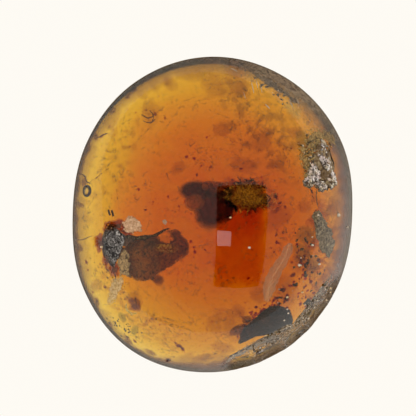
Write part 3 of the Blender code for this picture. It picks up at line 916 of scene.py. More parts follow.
# ---------------------------------------------------------------- the clear piece

# The open pit: its mouth's middle, how far its bed reaches across and along, and its turn in degrees
PIT_PLACE = (9.75, 4.60)
BED_RADII = (1.2155, 2.1505)
PIT_TURN = -14.0
# The hollow's lobes: offset from its mouth's middle, and radii; those off the middle stand a little higher
PIT_LOBES = (
    (0.0, 0.0, (1.25, 2.05, 1.30)), (-0.55, -1.05, (0.95, 1.05, 1.00)), (0.55, -1.30, (0.90, 0.95, 0.90)),
)
PIT_RISE = 0.25
# How far from a chip's own surface the amber is dull
WORN_REACH = 0.25

# Gas bubbles as seen: place, depth under the dome, radius
BUBBLES = (
    (-11.15, 2.14, 0.85, 0.55), (11.24, 0.00, 0.35, 0.20), (9.45, 0.00, 0.30, 0.13),
    (8.92, -2.68, 0.30, 0.12), (3.34, -2.90, 0.50, 0.11), (1.65, -0.22, 0.40, 0.10),
    (7.76, -4.46, 0.30, 0.14), (9.54, -4.37, 0.30, 0.12), (4.99, 1.34, 0.50, 0.10),
    (6.69, -7.31, 0.30, 0.12), (-5.00, -9.30, 0.60, 0.09), (8.03, -6.87, 0.30, 0.10),
)


def bubble(x, y, depth, radius):
    """A round hollow, its faces turned towards the gas."""
    shell = bmesh.new()
    bmesh.ops.create_icosphere(shell, subdivisions=4, radius=radius)
    place = under(x, y, depth)
    points = [place + Vector((v.co.x, v.co.y, v.co.z * 0.85)) for v in shell.verts]
    faces = [tuple(vert.index for vert in reversed(face.verts)) for face in shell.faces]
    shell.free()
    return points, faces


def pit_frame():
    """The pit's mouth, and the turn that lays a lump along it."""
    mouth = Vector((*PIT_PLACE, dome_height(*PIT_PLACE)))
    lean = dome_normal(*PIT_PLACE).to_track_quat("Z", "Y").to_matrix()
    along = math.radians(-PIT_TURN)
    long_axis = lean.inverted() @ Vector((math.sin(along), math.cos(along), 0))
    return mouth, lean @ Matrix.Rotation(math.atan2(-long_axis.x, long_axis.y), 3, "Z")


def whole_pebble(segments, dome_rings, back_rings):
    """The pebble without its pit, chips and bubbles."""
    around = bearings(segments)
    rings = [[dome_point(0.0, 0.0)]]
    for step in range(1, dome_rings + 1):
        share = math.sin(math.pi / 2 * step / dome_rings)
        rings.append([dome_point(share, a) for a in around])
    rim = 1 - (FLAT_SHARE - FLAT_SLOPE)
    for step in range(1, back_rings + 1):
        share = 1 - rim * (1 - math.cos(math.pi / 2 * step / back_rings))
        rings.append([back_point(share, a, crispness(a)) for a in around])
    for share in (0.5, 0.25):
        rings.append([back_point(share, a) for a in around])
    rings.append([back_point(0.0, 0.0)])
    return skinned(rings)


def cut_away(body, tools):
    """Takes the tools' shapes out of a body, and removes the tools."""
    for tool in tools:
        step = body.modifiers.new("Cut", "BOOLEAN")
        step.operation = "DIFFERENCE"
        step.solver = "EXACT"
        step.object = tool
    bpy.context.view_layer.update()
    shape = body.evaluated_get(bpy.context.evaluated_depsgraph_get())
    mesh = bpy.data.meshes.new_from_object(shape)
    body.modifiers.clear()
    body.data = mesh
    for tool in tools:
        bpy.data.objects.remove(tool)


def pit_and_chip_tools():
    """The lumps that the open pit and the rim's chips are cut with."""
    mouth, turn = pit_frame()
    tools = []
    for i, (x, y, radii) in enumerate(PIT_LOBES):
        place = mouth + Vector((x, y, -PIT_RISE * y))
        tools.append(make(f"pit_{i}", lump(place, radii, turn, 17 + i, roughness=0.22, fineness=1.9)))
    for i, (centre, radius) in enumerate(CHIP_BALLS):
        ball = lump(centre, (radius,) * 3, seed=40 + i, detail=5, roughness=0.025, fineness=4.0)
        tools.append(make(f"chip_{i}", ball))
    return tools


def add_bubbles(mesh):
    """Puts the gas bubbles' faces into the pebble's own mesh."""
    shell = bmesh.new()
    shell.from_mesh(mesh)
    for some in BUBBLES:
        points, faces = bubble(*some)
        verts = [shell.verts.new(point * MM) for point in points]
        for face in faces:
            shell.faces.new([verts[i] for i in face])
    shell.to_mesh(mesh)
    shell.free()


def mark_worn(mesh):
    """Writes how dull the amber is at each point: 1 on a chip's own surface, 0 away from it."""
    worn_here = mesh.attributes.new("worn", "FLOAT", "POINT")
    for vert in mesh.vertices:
        spot = vert.co / MM
        dull = max(1 - abs((spot - centre).length - radius) / WORN_REACH for centre, radius in CHIP_BALLS)
        worn_here.data[vert.index].value = min(1.0, max(0.0, dull))


class AMBER_OT_clear_piece(bpy.types.Operator):
    """Make the pebble's clear amber as one piece"""
    bl_idname = "amber.clear_piece"
    bl_label = "Clear Amber"

    def execute(self, context):
        sizes = context.scene.amber_sizes
        pebble = make("clear_amber", whole_pebble(sizes.segments, sizes.dome_rings, sizes.back_rings))
        cut_away(pebble, pit_and_chip_tools())
        mesh = pebble.data
        add_bubbles(mesh)
        mesh.materials.clear()
        mesh.materials.append(amber_finish(context.scene.amber_looks))
        mesh.shade_smooth()
        mesh.set_sharp_from_angle(angle=math.radians(35))
        mark_worn(mesh)
        settle(pebble, "amber", "amber_base", "amber_top")
        return {"FINISHED"}


# ---------------------------------------------------------------- the insect

# Stops along the insect's body: place, half width and half height
BODY_STATIONS = (
    (-8.10, -3.00, 5.60, 0.70, 0.45),
    (-7.25, -3.85, 5.85, 1.15, 0.70),
    (-6.60, -3.80, 6.10, 1.70, 0.90),
    (-5.90, -3.72, 6.30, 1.88, 1.02),
    (-4.90, -3.52, 6.40, 1.82, 1.08),
    (-4.00, -3.20, 6.45, 1.60, 1.05),
    (-3.20, -2.78, 6.45, 1.50, 0.98),
    (-2.50, -2.56, 6.42, 1.34, 0.86),
    (-1.90, -2.65, 6.40, 0.88, 0.60),
    (-1.45, -2.80, 6.38, 0.38, 0.28),
)
BODY_SIDES = 72
BODY_STEPS = 12
# Outlines as seen of the charred fore-body, and of the membranes
FORE_BODY = (
    (-8.92, -0.80), (-7.58, -1.87), (-7.80, -2.59), (-8.43, -4.10), (-8.65, -4.64), (-9.45, -3.57),
    (-9.63, -2.68), (-9.54, -1.87), (-9.27, -1.25),
)
FORE_BODY_THICKNESS = 1.5
# Legs: stops of x, y, z and half thickness
LEGS = (
    ((-7.95, -2.30, 6.10, 0.26), (-7.13, -1.98, 6.75, 0.30), (-6.30, -1.98, 7.00, 0.17),
     (-5.53, -1.90, 7.25, 0.21), (-4.90, -1.80, 7.35, 0.10), (-4.44, -1.66, 7.40, 0.15),
     (-3.70, -1.28, 7.40, 0.09), (-3.29, -1.15, 7.30, 0.05)),
    ((-4.95, -4.70, 5.90, 0.24), (-4.75, -5.05, 5.80, 0.22), (-4.60, -5.35, 5.75, 0.14)),
    ((-6.60, -3.20, 5.75, 0.22), (-6.10, -2.60, 4.95, 0.16), (-5.20, -2.90, 4.70, 0.07)),
    ((-6.50, -4.20, 5.75, 0.22), (-6.00, -4.90, 4.95, 0.16), (-5.10, -4.60, 4.70, 0.07)),
    ((-5.20, -2.90, 5.75, 0.22), (-4.50, -2.30, 4.95, 0.16), (-3.40, -2.50, 4.80, 0.07)),
    ((-5.10, -3.90, 5.75, 0.22), (-4.20, -4.20, 4.95, 0.16), (-3.10, -3.60, 4.80, 0.07)),
)
LOWER_MEMBRANE = (
    (-7.85, -2.85), (-7.54, -3.12), (-7.45, -4.19), (-7.36, -5.44), (-8.11, -5.40), (-8.43, -4.73),
    (-8.29, -4.01),
)
WEB = (
    (-8.10, -2.00), (-7.30, -2.05), (-6.75, -2.12), (-6.90, -2.30), (-7.40, -2.50), (-7.80, -2.75),
    (-8.10, -2.80),
)
UPPER_MEMBRANE = (
    (-8.11, -0.80), (-7.67, -0.18), (-7.13, -0.09), (-6.60, -0.45), (-6.15, -0.98), (-6.51, -1.43),
    (-7.22, -1.69), (-7.76, -1.43),
)


# Each membrane: name, outline, depth, thickness, seed, how far its edge wanders, and its finish
MEMBRANES = (
    ("insect_lower_membrane", LOWER_MEMBRANE, 0.03, 0.10, 8, 0.28,
     ("folded_membrane", (0.62, 0.43, 0.19), (0.07, 0.045, 0.02), 3.4)),
    ("insect_web", WEB, 0.08, 0.10, 10, 0.2,
     ("leg_web", (0.20, 0.085, 0.045), (0.05, 0.022, 0.014), 4.0)),
    ("insect_upper_membrane", UPPER_MEMBRANE, 0.01, 0.09, 9, 0.32,
     ("pale_membrane", (0.98, 0.70, 0.46), (0.55, 0.28, 0.12), 3.6)),
)


def insect_body():
    """Wing cases with a seam and ridges over a creased belly."""
    rings, weights = [], []
    stations = eased([(x, y, z, 0.0) for x, y, z, _, _ in BODY_STATIONS], BODY_STEPS)
    widths = eased([(wide, high, 0.0, 0.0) for _, _, _, wide, high in BODY_STATIONS], BODY_STEPS)
    for i, (stop, size) in enumerate(zip(stations, widths)):
        end = min(1.0, 2.5 * (len(stations) - 1 - i) / len(stations))
        x, y, z = stop[:3]
        wide, high = max(0.05, size[0]), max(0.05, size[1])
        crease = 0.10 * (0.5 + 0.5 * math.cos(math.tau * i / BODY_STEPS)) ** 4
        ring = []
        for a in bearings(BODY_SIDES):
            up, out = math.sin(a), math.cos(a)
            if up > 0:
                ridge = 0.03 * math.cos(a * 18) * min(1.0, wide)
                seam = 0.14 * math.exp(-(out / 0.07) ** 2) * min(1.0, wide)
                spot = Vector((x, y + (wide + ridge) * out, z + (high + ridge) * up - seam))
            else:
                tuck = 1 - crease
                spot = Vector((x, y + wide * tuck * out, z + high * 0.8 * tuck * up))
            swell = rough(spot, 1.3, 0.10, 5)
            ring.append(spot + Vector((0, out, up)) * swell)
            weights.append((1 - abs(out)) * end)
        rings.append(ring)
    first = sum(rings[0], Vector()) / BODY_SIDES
    last = sum(rings[-1], Vector()) / BODY_SIDES
    return *skinned([[first], *rings, [last]]), [1.0, *weights, 0.0]


class AMBER_OT_insect(bpy.types.Operator):
    """Make the insect: charred fore-body, brown body, legs and torn membranes"""
    bl_idname = "amber.insect"
    bl_label = "Insect"

    def execute(self, context):
        lift = context.scene.amber_sizes.insect_lift / MM
        body = make("insect_body", insect_body(), material=chitin_finish(context.scene.amber_looks))
        settle(body, "insect", "insect")
        outline = [on_dome(x, y).to_2d() for x, y in FORE_BODY]
        front = slab(outline, lambda x, y: dome_height(x, y) - FORE_BODY_THICKNESS / 2 + lift,
                     FORE_BODY_THICKNESS, seed=3, spacing=0.05, wander=0.05, relief=0.03, fineness=5.0,
                     bluntness=24, rings=26)
        settle(make("insect_fore_body", front, material=charred_finish()), "insect", "insect")
        legs = [limb(eased(path, 6), 12) for path in LEGS]
        settle(make("insect_legs", *legs, material=leg_finish()), "insect", "insect")
        for name, outline, depth, thickness, seed, wander, looks in MEMBRANES:
            skin = film(outline, depth, thickness, seed=seed, wander=wander, relief=0.03)
            settle(make(name, skin, material=membrane_finish(*looks)), "insect", "insect")
        return {"FINISHED"}


# ---------------------------------------------------------------- what else is sealed in

# Outlines as seen of the charred fragment, the heart-shaped bit and the scaly flake
FRAGMENT = (
    (5.17, -8.11), (6.06, -8.03), (6.87, -8.38), (7.22, -9.01), (7.22, -9.99), (6.42, -10.34),
    (5.17, -10.61), (3.83, -10.79), (2.68, -11.24), (2.32, -11.50), (2.50, -10.61), (2.85, -9.99),
    (3.66, -9.36), (4.37, -8.65),
)
HEART = (
    (8.03, -7.94), (8.29, -7.71), (8.52, -7.40), (8.74, -7.54), (8.88, -7.76), (8.65, -8.10), (8.29, -8.03),
)
SCALY = (
    (9.27, 0.45), (9.72, 0.27), (10.17, -0.18), (10.26, -0.71), (10.79, -1.43), (10.88, -2.50),
    (10.79, -3.30), (10.34, -3.66), (9.81, -3.12), (9.36, -2.32), (9.10, -1.25),
)
FRAGMENT_CEILING = 5.4
# The pale flake as seen: stops of x, y and half width
PALE_FLAKE = (
    (7.00, -2.45, 0.26), (6.80, -3.00, 0.42), (6.42, -3.83, 0.52), (5.75, -4.90, 0.58), (5.26, -5.97, 0.66),
    (4.99, -6.87, 0.50), (4.86, -7.85, 0.30),
)
# Small black bits as seen: place and radius
BLACK_BITS = (
    (-9.54, -6.42, 0.16), (-10.26, -7.67, 0.13), (-2.94, -11.68, 0.27), (-3.92, -12.93, 0.22),
    (-6.87, -11.24, 0.18), (-5.26, 1.16, 0.10), (2.85, -10.26, 0.18), (5.26, -2.94, 0.11),
    (5.17, 1.34, 0.13), (5.71, 1.61, 0.18), (6.06, 1.07, 0.16), (6.51, 0.71, 0.14), (1.78, 3.12, 0.11),
    (4.46, 2.85, 0.13), (-7.04, 11.24, 0.22), (-9.81, 7.04, 0.16), (-5.08, 9.01, 0.16), (-5.89, 9.36, 0.11),
    (-4.19, 8.65, 0.12), (6.33, -6.69, 0.27), (6.60, -7.58, 0.27), (5.97, -8.03, 0.21), (7.22, -5.35, 0.22),
    (7.49, -6.24, 0.18), (7.13, -4.19, 0.13), (5.71, -1.78, 0.14), (5.97, -2.50, 0.12), (5.53, -3.30, 0.11),
    (6.33, -1.61, 0.12), (10.17, -3.75, 0.12), (9.63, -4.19, 0.14), (11.30, -4.19, 0.12),
    (-11.06, -4.90, 0.12), (-11.20, -4.19, 0.20), (-10.61, -6.87, 0.12), (-2.60, -11.95, 0.20),
    (-3.25, -11.40, 0.16),
)


class AMBER_OT_black_fragments(bpy.types.Operator):
    """Make the charred fragment and the small black bits"""
    bl_idname = "amber.black_fragments"
    bl_label = "Black Fragments"

    def execute(self, context):
        outline = [sunk(x, y, FRAGMENT_CEILING).to_2d() for x, y in FRAGMENT]
        plate = slab(outline, lambda x, y: min(FRAGMENT_CEILING, dome_height(x, y) - 1.5), 1.1, seed=12,
                     wander=0.06, relief=0.12, bluntness=8, rings=16)
        fragment = make("black_fragment", plate, material=charcoal_finish())
        settle(fragment, "charred_fragment", "black_fragment")
        heart = film(HEART, 0.45, 0.25, seed=13, spacing=0.06, wander=0.03, relief=0.04)
        settle(make("black_bit", heart, material=charcoal_finish()), "charred_fragment")
        bits = []
        for i, (x, y, radius) in enumerate(BLACK_BITS):
            turn = Matrix.Rotation(i * 1.3, 3, "Z")
            radii = (radius * 1.25, radius * 0.8, radius * 0.6)
            bits.append(lump(under(x, y, 0.35), radii, turn, i, 3, 0.7, 1.7))
        tint("charred_crumbs", (7000.0, 12000.0, 12000.0), *bits, slot_name="charred_fragment")
        return {"FINISHED"}


# The dark body's lobes: place, radii, turn, seed and how finely each is cut; and its tail
DARK_LOBES = (
    ((0.40, 0.20, 4.95), (1.45, 1.75, 0.85), 0.35, 3, 5),
    ((-0.95, 1.80, 4.95), (1.50, 0.88, 0.60), -0.14, 5, 5),
    ((1.40, 0.45, 5.00), (0.90, 1.45, 0.75), 0.0, 7, 4),
    ((-1.00, 0.80, 4.95), (0.85, 0.80, 0.45), 0.0, 9, 4),
)
DARK_TAIL = ((-0.40, -0.40, 4.85, 0.16), (-0.85, -0.90, 4.80, 0.12), (-1.00, -1.40, 4.80, 0.07))


class AMBER_OT_dark_body(bpy.types.Operator):
    """Make the dark lobed body in the middle"""
    bl_idname = "amber.dark_body"
    bl_label = "Dark Body"

    def execute(self, context):
        lobes = [lump(place, radii, Matrix.Rotation(turn, 3, "Z"), seed, detail, 0.16)
                 for place, radii, turn, seed, detail in DARK_LOBES]
        body = make("dark_body", *lobes, limb(eased(DARK_TAIL, 6)), material=soft_body_finish())
        settle(body, "dark_body", "dark_body")
        return {"FINISHED"}


# Twigs in the plant debris: stops of x, y, z and half thickness
TWIGS = (
    ((2.05, 0.55, 7.20, 0.16), (2.90, 1.30, 7.55, 0.14), (4.00, 1.75, 7.40, 0.10)),
    ((2.40, 2.40, 7.20, 0.14), (3.20, 1.40, 7.05, 0.14), (3.75, 0.40, 7.15, 0.09)),
    ((3.50, 2.50, 7.30, 0.13), (3.90, 1.40, 7.20, 0.12), (4.70, 0.60, 7.10, 0.07)),
)


class AMBER_OT_plant_debris(bpy.types.Operator):
    """Make the mottled plant debris"""
    bl_idname = "amber.plant_debris"
    bl_label = "Plant Debris"

    def execute(self, context):
        clump = lump((3.00, 1.35, 7.15), (1.55, 1.40, 0.55), None, 11, 5, 0.7, 2.4)
        twigs = [limb(eased(path, 6)) for path in TWIGS]
        debris = make("plant_debris", clump, *twigs, material=debris_finish())
        settle(debris, "plant_debris", "plant_debris")
        fringe = film(MASS_FIELD, 0.9, 0.2, seed=24, wander=0.35, relief=0.1)
        coat("debris_fringe", "plant_debris", [fringe], (0.34, 0.11, 0.015), (1.0, 0.60, 0.12),
             0.75, 2.4, 2.0, edge=(0.25, 0.80), clear=0.5)
        return {"FINISHED"}


class AMBER_OT_flakes(bpy.types.Operator):
    """Make the long pale flake and the grey scaly flake"""
    bl_idname = "amber.flakes"
    bl_label = "Flakes"

    def execute(self, context):
        strip = ribbon(PALE_FLAKE, 0.03, 0.06, seed=21, wander=0.03, steps=10, across=10, frayed=0.2)
        settle(make("pale_flake", strip, material=pale_flake_finish()), "pale_flake", "pale_flake")
        outline = [under(x, y, 0.6).to_2d() for x, y in SCALY]
        plate = slab(outline, lambda x, y: dome_height(x, y) - 0.28, 0.4, seed=14, wander=0.28, relief=0.16,
                     fineness=2.6, rings=14)
        looks = mottled_finish("scaly_flake", (0.07, 0.05, 0.02), (0.38, 0.29, 0.16), (0.90, 0.80, 0.58),
                               4.0, 0.45, 0.25)
        settle(make("scaly_flake", plate, material=looks), "scaly_flake", "scaly_flake")
        return {"FINISHED"}


# Crystal clusters as seen: place and radii; and the crust along the pit's upper edge
PIT_CLUSTERS = (
    (10.02, 4.75, 0.72, 1.10), (9.20, 3.60, 0.80, 0.85), (10.65, 3.20, 0.65, 0.72),
    (9.85, 6.10, 0.32, 0.55), (8.65, 2.95, 0.40, 0.40), (9.85, 2.60, 0.55, 0.35),
)
PIT_CRUST = (
    (11.20, 5.60, 0.25), (10.90, 6.50, 0.50), (10.20, 7.00, 0.75), (9.30, 6.90, 0.95), (8.70, 6.20, 1.00),
    (8.50, 5.30, 0.85), (8.50, 4.40, 0.60), (8.40, 3.50, 0.45), (8.15, 2.70, 0.30),
)


# Coloured spots in the pit: name, ovals as seen, dark and light colour
PIT_SPOTS = (
    ("pit_orange", ((10.08, 6.00, 0.22, 0.30),), (0.40, 0.10, 0.02), (0.80, 0.30, 0.06)),
    ("pit_green", ((10.35, 3.30, 0.34, 0.42), (10.75, 2.70, 0.20, 0.30)),
     (0.30, 0.30, 0.06), (0.70, 0.66, 0.22)),
)


class AMBER_OT_pit_crystals(bpy.types.Operator):
    """Make the crystals in the open pit"""
    bl_idname = "amber.pit_crystals"
    bl_label = "Pit Crystals"

    def execute(self, context):
        mouth, turn = pit_frame()
        bed = lump(mouth - turn @ Vector((0, 0, 0.30)), (*BED_RADII, 0.45), turn, 17, 5, 0.3, 3.0)
        looks = mottled_finish("pit_bed", (0.04, 0.02, 0.010), (0.20, 0.13, 0.05), (0.50, 0.42, 0.26), 1.4)
        settle(make("pit_bed", bed, material=looks), "crystals", "pit_crystals")
        metal = crystal_finish("silver_crystals", (1.0, 0.98, 1.0), (0.84, 0.78, 0.62), 0.2, 0.75)
        clusters = [lump(on_dome(x, y, -0.25), (rx, ry, 0.35), turn, 27 + i, 3, 0.5, 2.2)
                    for i, (x, y, rx, ry) in enumerate(PIT_CLUSTERS)]
        crystals = scatter("pit_crystals", make("pit_sheet", *clusters), block(1.0, 0.8, 0.55),
                           20.0, 0.12, 0.40, 4, metal)
        settle(crystals, "crystals", "pit_crystals")
        crust = ribbon(PIT_CRUST, 0.0, 0.08, seed=52, wander=0.2)
        coat("pit_crust", "crystals", [crust], (0.04, 0.020, 0.008), (0.62, 0.44, 0.14), 0.90, 3.2, 2.2,
             edge=(0.25, 0.55), clear=0.6)
        for i, (name, places, dark, light) in enumerate(PIT_SPOTS):
            spots = [film(blot(*place), 0.05, 0.12, seed=54 + i, wander=0.15, relief=0.05)
                     for place in places]
            coat(name, "crystals", spots, dark, light, 0.95, 3.0, 1.0, edge=(0.05, 0.3))
        return {"FINISHED"}


# ---------------------------------------------------------------- flows, clouds, skin and specks

# Outlines as seen of the orange flow and of the red lens of painted shade in its middle, and the height of
# each one's middle
FLOW_OUTLINE = (
    (-7.22, 8.65), (-7.49, 6.42), (-7.85, 4.46), (-8.65, 3.03), (-9.10, 1.34), (-9.27, -0.89),
    (-9.10, -3.57), (-8.38, -6.24), (-6.60, -8.29), (-3.75, -9.36), (-0.18, -9.90), (3.39, -9.54),
    (6.78, -7.85), (9.18, -4.90), (10.52, -0.89), (9.90, 3.12), (8.00, 5.60), (6.00, 7.60), (3.60, 9.60),
    (0.71, 10.90), (-2.41, 10.97), (-5.08, 10.26),
)
FLOW_LEVEL = 3.6
RED_SHADE_LENS = (
    (0.10, 1.20), (2.00, 1.50), (4.70, 1.20), (4.75, -2.20), (4.75, -4.40), (4.50, -6.40), (0.20, -6.55),
    (0.05, -4.00), (0.20, -1.50),
)
RED_SHADE_LEVEL = 3.0
# The orange flow's thickness at evenly spaced places from its lower end to its upper one
FLOW_ENDS = (-11.0, 12.0)
FLOW_THICKNESS = (0.5, 0.8, 2.1, 4.5, 5.0, 5.0, 4.6, 3.9, 3.4, 3.0, 2.8)
# Knots of the red lens of painted shade: place, size and added thickness
RED_SHADE_KNOTS = (
    (3.70, -0.10, 1.70, 4.4), (2.00, -0.80, 1.40, 2.6), (3.60, -4.90, 1.50, 1.8), (1.00, -5.20, 1.30, 2.0),
)
# Clouds as seen: place, radii and height
BROWN_CLOUDS = (
    (1.60, -9.80, 0.7, 1.5, 5.5), (2.50, -10.60, 1.0, 0.9, 5.0), (2.40, 11.00, 1.3, 1.1, 6.0),
    (2.40, -8.60, 0.7, 0.5, 6.5), (0.80, 7.58, 0.8, 0.7, 7.5), (7.40, 7.40, 0.8, 0.6, 6.5),
    (4.37, 6.69, 1.2, 0.9, 6.5), (2.14, 12.40, 1.9, 1.1, 4.5), (0.45, 11.50, 1.4, 1.3, 5.0),
    (8.20, 0.71, 0.6, 0.5, 6.5), (5.89, -0.27, 1.2, 0.7, 6.0), (4.19, -7.13, 0.7, 0.7, 6.5),
    (1.25, -9.54, 1.0, 1.7, 5.0), (1.07, -11.86, 1.0, 0.7, 4.0), (-0.62, -12.70, 1.2, 0.5, 3.0),
    (-6.96, -7.58, 1.0, 0.7, 4.0), (-5.53, 9.18, 1.5, 0.8, 5.0), (-3.75, 11.68, 0.9, 0.6, 4.0),
    (6.51, -6.87, 1.0, 1.4, 5.5), (-3.00, 4.20, 0.7, 0.5, 5.0), (7.85, -4.37, 0.8, 0.8, 6.0),
    (-10.34, -6.24, 0.6, 0.8, 3.5), (2.68, 4.46, 1.1, 0.7, 6.5),
)
DARK_CLOUDS = (
    (0.30, 2.30, 1.50, 0.70, 5.2), (1.60, 1.60, 0.60, 0.90, 5.2), (-4.80, -5.80, 0.45, 0.50, 5.2),
    (2.50, -10.20, 0.45, 0.90, 5.0), (3.20, -9.40, 0.50, 0.40, 5.4),
)
OLIVE_CLOUDS = (
    (8.47, -1.78, 0.9, 0.8, 6.0), (8.03, -3.39, 0.7, 0.9, 6.0), (8.92, -4.60, 0.9, 0.6, 5.0),
    (8.38, 6.51, 1.1, 0.9, 5.5), (7.04, 10.90, 1.2, 0.5, 4.5), (5.62, 11.70, 1.0, 0.5, 4.5),
    (-6.90, -10.30, 0.6, 0.35, 3.6), (-8.00, -9.10, 0.5, 0.4, 3.8),
)

# How wide the dull skin of the rim is at evenly spaced bearings, and how grey; the grey is crust on the lower
# right and painted reflection on the upper right
SKIN_WIDTH = (1.45, 1.60, 1.90, 1.35, 1.00, 0.85, 0.80, 0.85, 0.90, 1.00, 1.70, 1.15)
SKIN_GREY = (0.35, 0.45, 0.95, 0.30, 0.15, 0.08, 0.10, 0.08, 0.12, 0.30, 0.70, 0.60)
# How far the painted shade round the rim, a brown tint and a darker line, reaches in at evenly spaced
# bearings
RIM_SHADE_REACH = (3.9, 2.8, 2.0, 1.6, 1.3, 0.9, 1.3, 1.0, 0.9, 2.6, 2.8, 3.8)
RIM_SHADE_LINE = (2.30, 1.50, 0.80, 0.55, 0.22, 0.20, 0.34, 0.36, 0.40, 1.60, 1.00, 1.90)
# Brown blots of painted shade along the rim as seen: place, radii and height
RIM_SHADE_BLOTS = (
    (-7.13, 11.15, 0.45, 0.35, 4.0), (-7.49, 10.61, 0.35, 0.30, 4.2), (-10.34, 6.96, 0.35, 0.25, 4.5),
    (-11.06, 5.80, 0.28, 0.50, 4.0), (-11.41, 2.94, 0.36, 0.50, 4.2), (-11.77, 0.90, 0.26, 0.50, 3.8),
    (-11.77, -2.94, 0.40, 0.36, 3.8), (-10.26, -7.76, 0.32, 0.42, 3.8), (-9.10, -9.81, 0.35, 0.30, 3.6),
    (-7.49, -11.15, 0.55, 0.35, 3.4), (-5.53, -12.20, 0.50, 0.30, 3.2), (-3.92, -12.90, 0.40, 0.25, 3.0),
    (-8.90, 9.30, 0.30, 0.40, 4.2),
)
SKIN_SEGMENTS = 240
SKIN_ROWS = 12

YELLOW_PATCH = (
    (5.62, 10.26), (6.51, 10.52), (7.58, 9.99), (8.38, 9.18), (8.11, 8.11), (7.13, 8.65), (6.15, 9.27),
)
CRUST_LINE = (
    (2.76, 13.00, 0.30), (4.10, 12.50, 0.42), (5.35, 11.68, 0.50), (6.33, 10.97, 0.42), (7.22, 10.34, 0.40),
    (8.03, 9.81, 0.25),
)
CHIPPED_LINE = (
    (0.70, -13.40, 0.12), (1.78, -12.75, 0.25), (2.59, -12.31, 0.22), (3.92, -11.68, 0.20),
    (5.44, -10.97, 0.25), (6.30, -10.45, 0.15),
)
WHITE_AREA = (
    (5.71, -11.15), (6.42, -10.43), (7.40, -10.17), (8.47, -10.00), (8.00, -10.75), (7.13, -11.35),
    (5.97, -11.75),
)
ORANGE_PATCH = (
    (4.64, -11.33), (4.99, -10.79), (5.71, -10.61), (6.06, -10.97), (5.71, -11.59), (4.90, -11.68),
)
STRIP = (
    (-8.92, -5.44), (-7.76, -5.35), (-8.03, -6.51), (-8.56, -7.85), (-9.45, -8.11), (-9.36, -7.22),
    (-9.10, -6.24),
)
LEAF = (
    (-7.49, -7.58), (-6.78, -7.22), (-6.24, -7.85), (-6.51, -8.65), (-7.22, -8.47),
)
LEAF_GLINT = (
    (-7.62, -7.85, 0.05), (-7.62, -8.40, 0.09), (-7.20, -8.78, 0.09), (-6.70, -8.75, 0.05),
)
PALE_CHIP = (
    (-4.50, -0.54), (-4.19, -0.32), (-3.92, -0.54), (-4.10, -0.89), (-4.37, -0.80),
)
RED_STAINS = (
    (-8.40, -0.95, 1.10, 0.62), (-9.95, -2.45, 0.70, 0.75), (-8.74, -4.85, 0.65, 0.65),
    (-7.60, -1.30, 0.70, 0.55), (-9.35, -3.90, 0.50, 0.95), (-9.20, -1.20, 0.60, 0.60),
)


# Each bank of clouds: name, places and the light lost in a metre
CLOUDS = (
    ("dark_clouds", DARK_CLOUDS, (1500.0, 1900.0, 1800.0)),
    ("brown_clouds", BROWN_CLOUDS, (310.0, 450.0, 400.0)),
    ("olive_clouds", OLIVE_CLOUDS, (620.0, 520.0, 700.0)),
)


def flow_thickness(x, y):
    """Thickness of the orange flow at a place: uneven, and less towards its ends and to the right."""
    steps = len(FLOW_THICKNESS) - 1
    low, high = FLOW_ENDS
    way = min(steps - 0.001, max(0.0, (y - low) / (high - low) * steps))
    before, after = FLOW_THICKNESS[int(way):int(way) + 2]
    spot = Vector((x, y, 31))
    broad = noise.fractal(spot * 0.35, 0.55, 2.0, 6)
    fine = noise.fractal(spot * 1.2, 0.55, 2.0, 6)
    thickness = before + (way % 1) * (after - before)
    return max(0.1, thickness * (0.94 - 0.02 * x) * (1 + 0.22 * broad + 0.32 * fine))


def red_shade_thickness(x, y):
    """Thickness of the red lens of painted shade at a place, greatest near its knots."""
    knots = [height * math.exp(-((x - kx) ** 2 + (y - ky) ** 2) / size ** 2)
             for kx, ky, size, height in RED_SHADE_KNOTS]
    return 1.5 + max(knots) + 0.5 * noise.fractal(Vector((x, y, 0)) * 1.3, 0.55, 2.0, 6)


class AMBER_OT_flows(bpy.types.Operator):
    """Make the orange flow in the middle, the red lens of painted shade in it, and the clouds"""
    bl_idname = "amber.flows"
    bl_label = "Flows and Clouds"

    def execute(self, context):
        looks = context.scene.amber_looks
        outline = [sunk(x, y, FLOW_LEVEL).to_2d() for x, y in FLOW_OUTLINE]
        tint("orange_flow", looks.flow, sheet(
            outline, lambda x, y: FLOW_LEVEL, flow_thickness, 31, spacing=0.25, rings=70, wander=0.25,
            fade=5))
        # Painted shade: a red lens that darkens the amber in the middle
        outline = [sunk(x, y, RED_SHADE_LEVEL).to_2d() for x, y in RED_SHADE_LENS]
        tint("red_flow", looks.heart, sheet(
            outline, lambda x, y: RED_SHADE_LEVEL, red_shade_thickness, 32, wander=0.15, fade=5))
        for name, clouds, losses in CLOUDS:
            tint(name, losses, *puffs(clouds, 1.0, 0.55, 0.7, 50, 0.35, 1.4))
        return {"FINISHED"}


# What the rim's rings are drawn in towards, and how far from it the rim stands
RIM_CENTRE = Vector((0, 0, 4.5))
RIM_MEAN = 13
# The dull skin's two faces: how deep each lies under the amber's surface
SKIN_TOP = -0.03
SKIN_BOTTOM = 0.02
TINT_DEPTH = 0.06


def drawn_in(place, depth):
    """A place of the rim moved in by a depth, also where a chip has taken amber away."""
    return worn(RIM_CENTRE.lerp(place, 1 - depth / RIM_MEAN), depth)


def rim_shares(start):
    """Shares of the dome from a start out to the widest line, closer together towards it."""
    lean = math.asin(start)
    return [math.sin(lean + (math.pi / 2 - lean) * step / SKIN_ROWS) for step in range(SKIN_ROWS + 1)]


